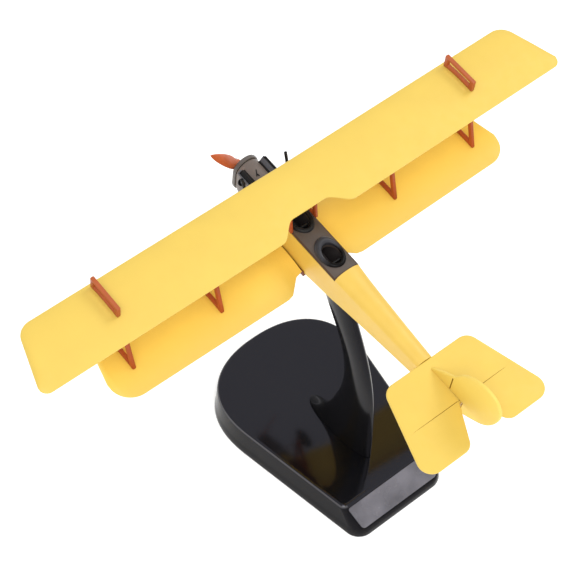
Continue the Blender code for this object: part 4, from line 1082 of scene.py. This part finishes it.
def make_base():
    rows = [(0.0, 0.2, 46.7, 3.6), (0.12, 0.06, 46.84, 3.9), (0.4, 0.0, 46.9, 4.0),
            (1.4, 0.12, 46.8, 3.9), (2.2, 0.23, 46.65, 3.75), (2.6, 0.29, 46.42, 3.6),
            (2.95, 0.33, 46.1, 3.4), (4.5, 0.48, 44.6, 2.7), (6.0, 0.62, 43.1, 2.0),
            (7.2, 0.74, 41.85, 1.5)]
    height, shrink, rear, corner = rows[-1]
    for i in range(1, 8):
        a = math.pi / 2 * i / 7
        rise, turn_in = math.sin(a), 1 - math.cos(a)
        rows.append((height + 0.8 * rise, shrink + 0.8 * turn_in,
                     rear - 0.95 * (0.35 * rise + 0.75 * turn_in), corner - 0.07 * i))
    rings = rings_from(rows, base_outline)
    under = [(-1.0, 1.7, 44.6, 2.4), (2.0, 1.9, 44.0, 2.2), (6.2, 2.3, 39.2, 1.4)]
    hollow = loft(rings_from(under, base_outline))
    margin = 0.1 * MM
    recess = sloped(margin, -NAMEPLATE_DEPTH - margin, 2 * MM, 0.02 * MM)
    shape = combine(loft(rings), [hollow, recess])
    boss = box((0, TENON[0], 4.2 * MM), (6.4 * MM, 12.0 * MM, 5.2 * MM))
    shape = combine(shape, [boss], "UNION")
    socket = loft([oval(TENON, 0.1 * MM, 3.4 * MM), oval(TENON, 0.1 * MM, 9.0 * MM)])
    hole = turned([(SCREW_RADIUS + 0.1 * MM, 0.0), (SCREW_RADIUS + 0.1 * MM, 5.0 * MM)], 24, stand_axis)
    shape = combine(shape, [socket, hole])
    base = piece("stand_base_skin", shape, STAND, "stand", GLOSS, ["stand_base"], 30)
    # The base's sides below the top edge take the less glossy copy: painted shade.
    repaint(base, STAND, GLOSS_SIDE_PAINTED_SHADE, lambda u, v, w: w < 7.45 * MM)
    # A band of the top edge's rounding on the +x side is painted lighter: a painted highlight.
    repaint(base, STAND, EDGE_PAINTED_HIGHLIGHT, lambda u, v, w: 7.5 * MM < w < 7.86 * MM and u > 0.0)
    blank = sloped(0.0, -NAMEPLATE_DEPTH, 0.0, 0.08 * MM)
    piece("nameplate_skin", blank, STAND, "stand", PLATE, ["nameplate"], 40)
    make_screw()


def stand_axis(u, v, w):
    return (u, TENON[0] + v, w)


def make_screw():
    head = [(0.5, 0.55), (1.1, 0.62), (1.4, 0.85), (1.5, 1.15), (1.5, 1.5)]
    profile = [(r * MM, h * MM) for r, h in head] + [(SCREW_RADIUS, 1.5 * MM), (SCREW_RADIUS, 6.2 * MM)]
    slots = [box((0, TENON[0], 0.6 * MM), (wide * MM, long * MM, 0.7 * MM))
             for wide, long in ((1.6, 0.3), (0.3, 1.6))]
    shape = combine(turned(profile, 32, stand_axis), slots)
    piece("pylon_screw_head", shape, STAND, "stand", STEEL, ["pylon_screw"])


def sloped(grow, low, high, edge):
    """A plate between two depths of the sloping rear face, wider at its upper edge."""
    lengths = (NAMEPLATE_TOP, NAMEPLATE_FOOT, NAMEPLATE_LENGTH / 2)
    top, foot, reach = (length + grow for length in lengths)
    corners = [(-top, -reach), (top, -reach), (foot, reach), (-foot, reach)]
    outline = rounded(corners, [radius * MM + grow for radius in (0.5, 0.5, 1.0, 1.0)], 8)
    turn = Matrix.Rotation(-PLATE_SLOPE, 4, "X")
    centre = Vector((0.0, *PLATE_CENTRE))
    return plate(outline, low, high, edge, lambda u, v, w: tuple(centre + turn @ Vector((u, v, w))))


# ---------------------------------------------------------------- set, light and camera

def make_floor():
    far = FLOOR_REACH
    corners = [(-far, -far, 0), (far, -far, 0), (far, far, 0), (-far, far, 0)]
    mesh = new_mesh("floor", corners, [(0, 1, 2, 3)])
    floor = linked("floor", mesh)
    material = bpy.data.materials.new("floor_white")
    material.use_nodes = True
    shader = material.node_tree.nodes["Principled BSDF"]
    shader.inputs["Base Color"].default_value = FLOOR_COLOUR
    shader.inputs["Roughness"].default_value = 0.9
    shader.inputs["Specular IOR Level"].default_value = 0.0
    shader.inputs["Emission Color"].default_value = (1.0, 1.0, 1.0, 1.0)
    shader.inputs["Emission Strength"].default_value = FLOOR_GLOW
    mesh.materials.append(material)


def make_light(name, location, size, power):
    data = bpy.data.lights.new(name, "AREA")
    data.shape = "DISK"
    data.size = size
    data.energy = power
    light = linked(name, data)
    light.location = location
    light.rotation_mode = "QUATERNION"
    light.rotation_quaternion = (LIGHT_AIM - Vector(location)).to_track_quat("-Z", "Y")


def make_world():
    world = bpy.data.worlds.new("studio")
    bpy.context.scene.world = world
    world.use_nodes = True
    background = world.node_tree.nodes["Background"]
    background.inputs["Color"].default_value = SKY_COLOUR
    background.inputs["Strength"].default_value = SKY_STRENGTH
    bpy.context.scene.view_settings.view_transform = "Standard"


def make_camera():
    back = Vector((math.sin(AZIMUTH) * math.cos(ELEVATION), -math.cos(AZIMUTH) * math.cos(ELEVATION),
                   math.sin(ELEVATION)))
    right = Vector((math.cos(AZIMUTH), math.sin(AZIMUTH), 0.0))
    up = back.cross(right)
    rolled_right = right * math.cos(ROLL) + up * math.sin(ROLL)
    rolled_up = up * math.cos(ROLL) - right * math.sin(ROLL)
    data = bpy.data.cameras.new("camera")
    data.lens = LENS
    data.sensor_width = 36.0
    data.clip_start = 0.01
    data.clip_end = 20.0
    camera = linked("camera", data)
    turn = Matrix((rolled_right, rolled_up, back)).transposed().to_4x4()
    camera.matrix_world = Matrix.Translation(TARGET + back * DISTANCE) @ turn
    bpy.context.scene.camera = camera


def write_sizes():
    import json


make_camera()
make_wings()
make_struts()
make_fuselage()
make_nose()
make_propeller()
make_undercarriage()
make_tail()
make_pylon()
make_base()
make_floor()
make_world()
make_light("key_light", *KEY_LIGHT)
make_light("side_light", *SIDE_LIGHT)
write_sizes()
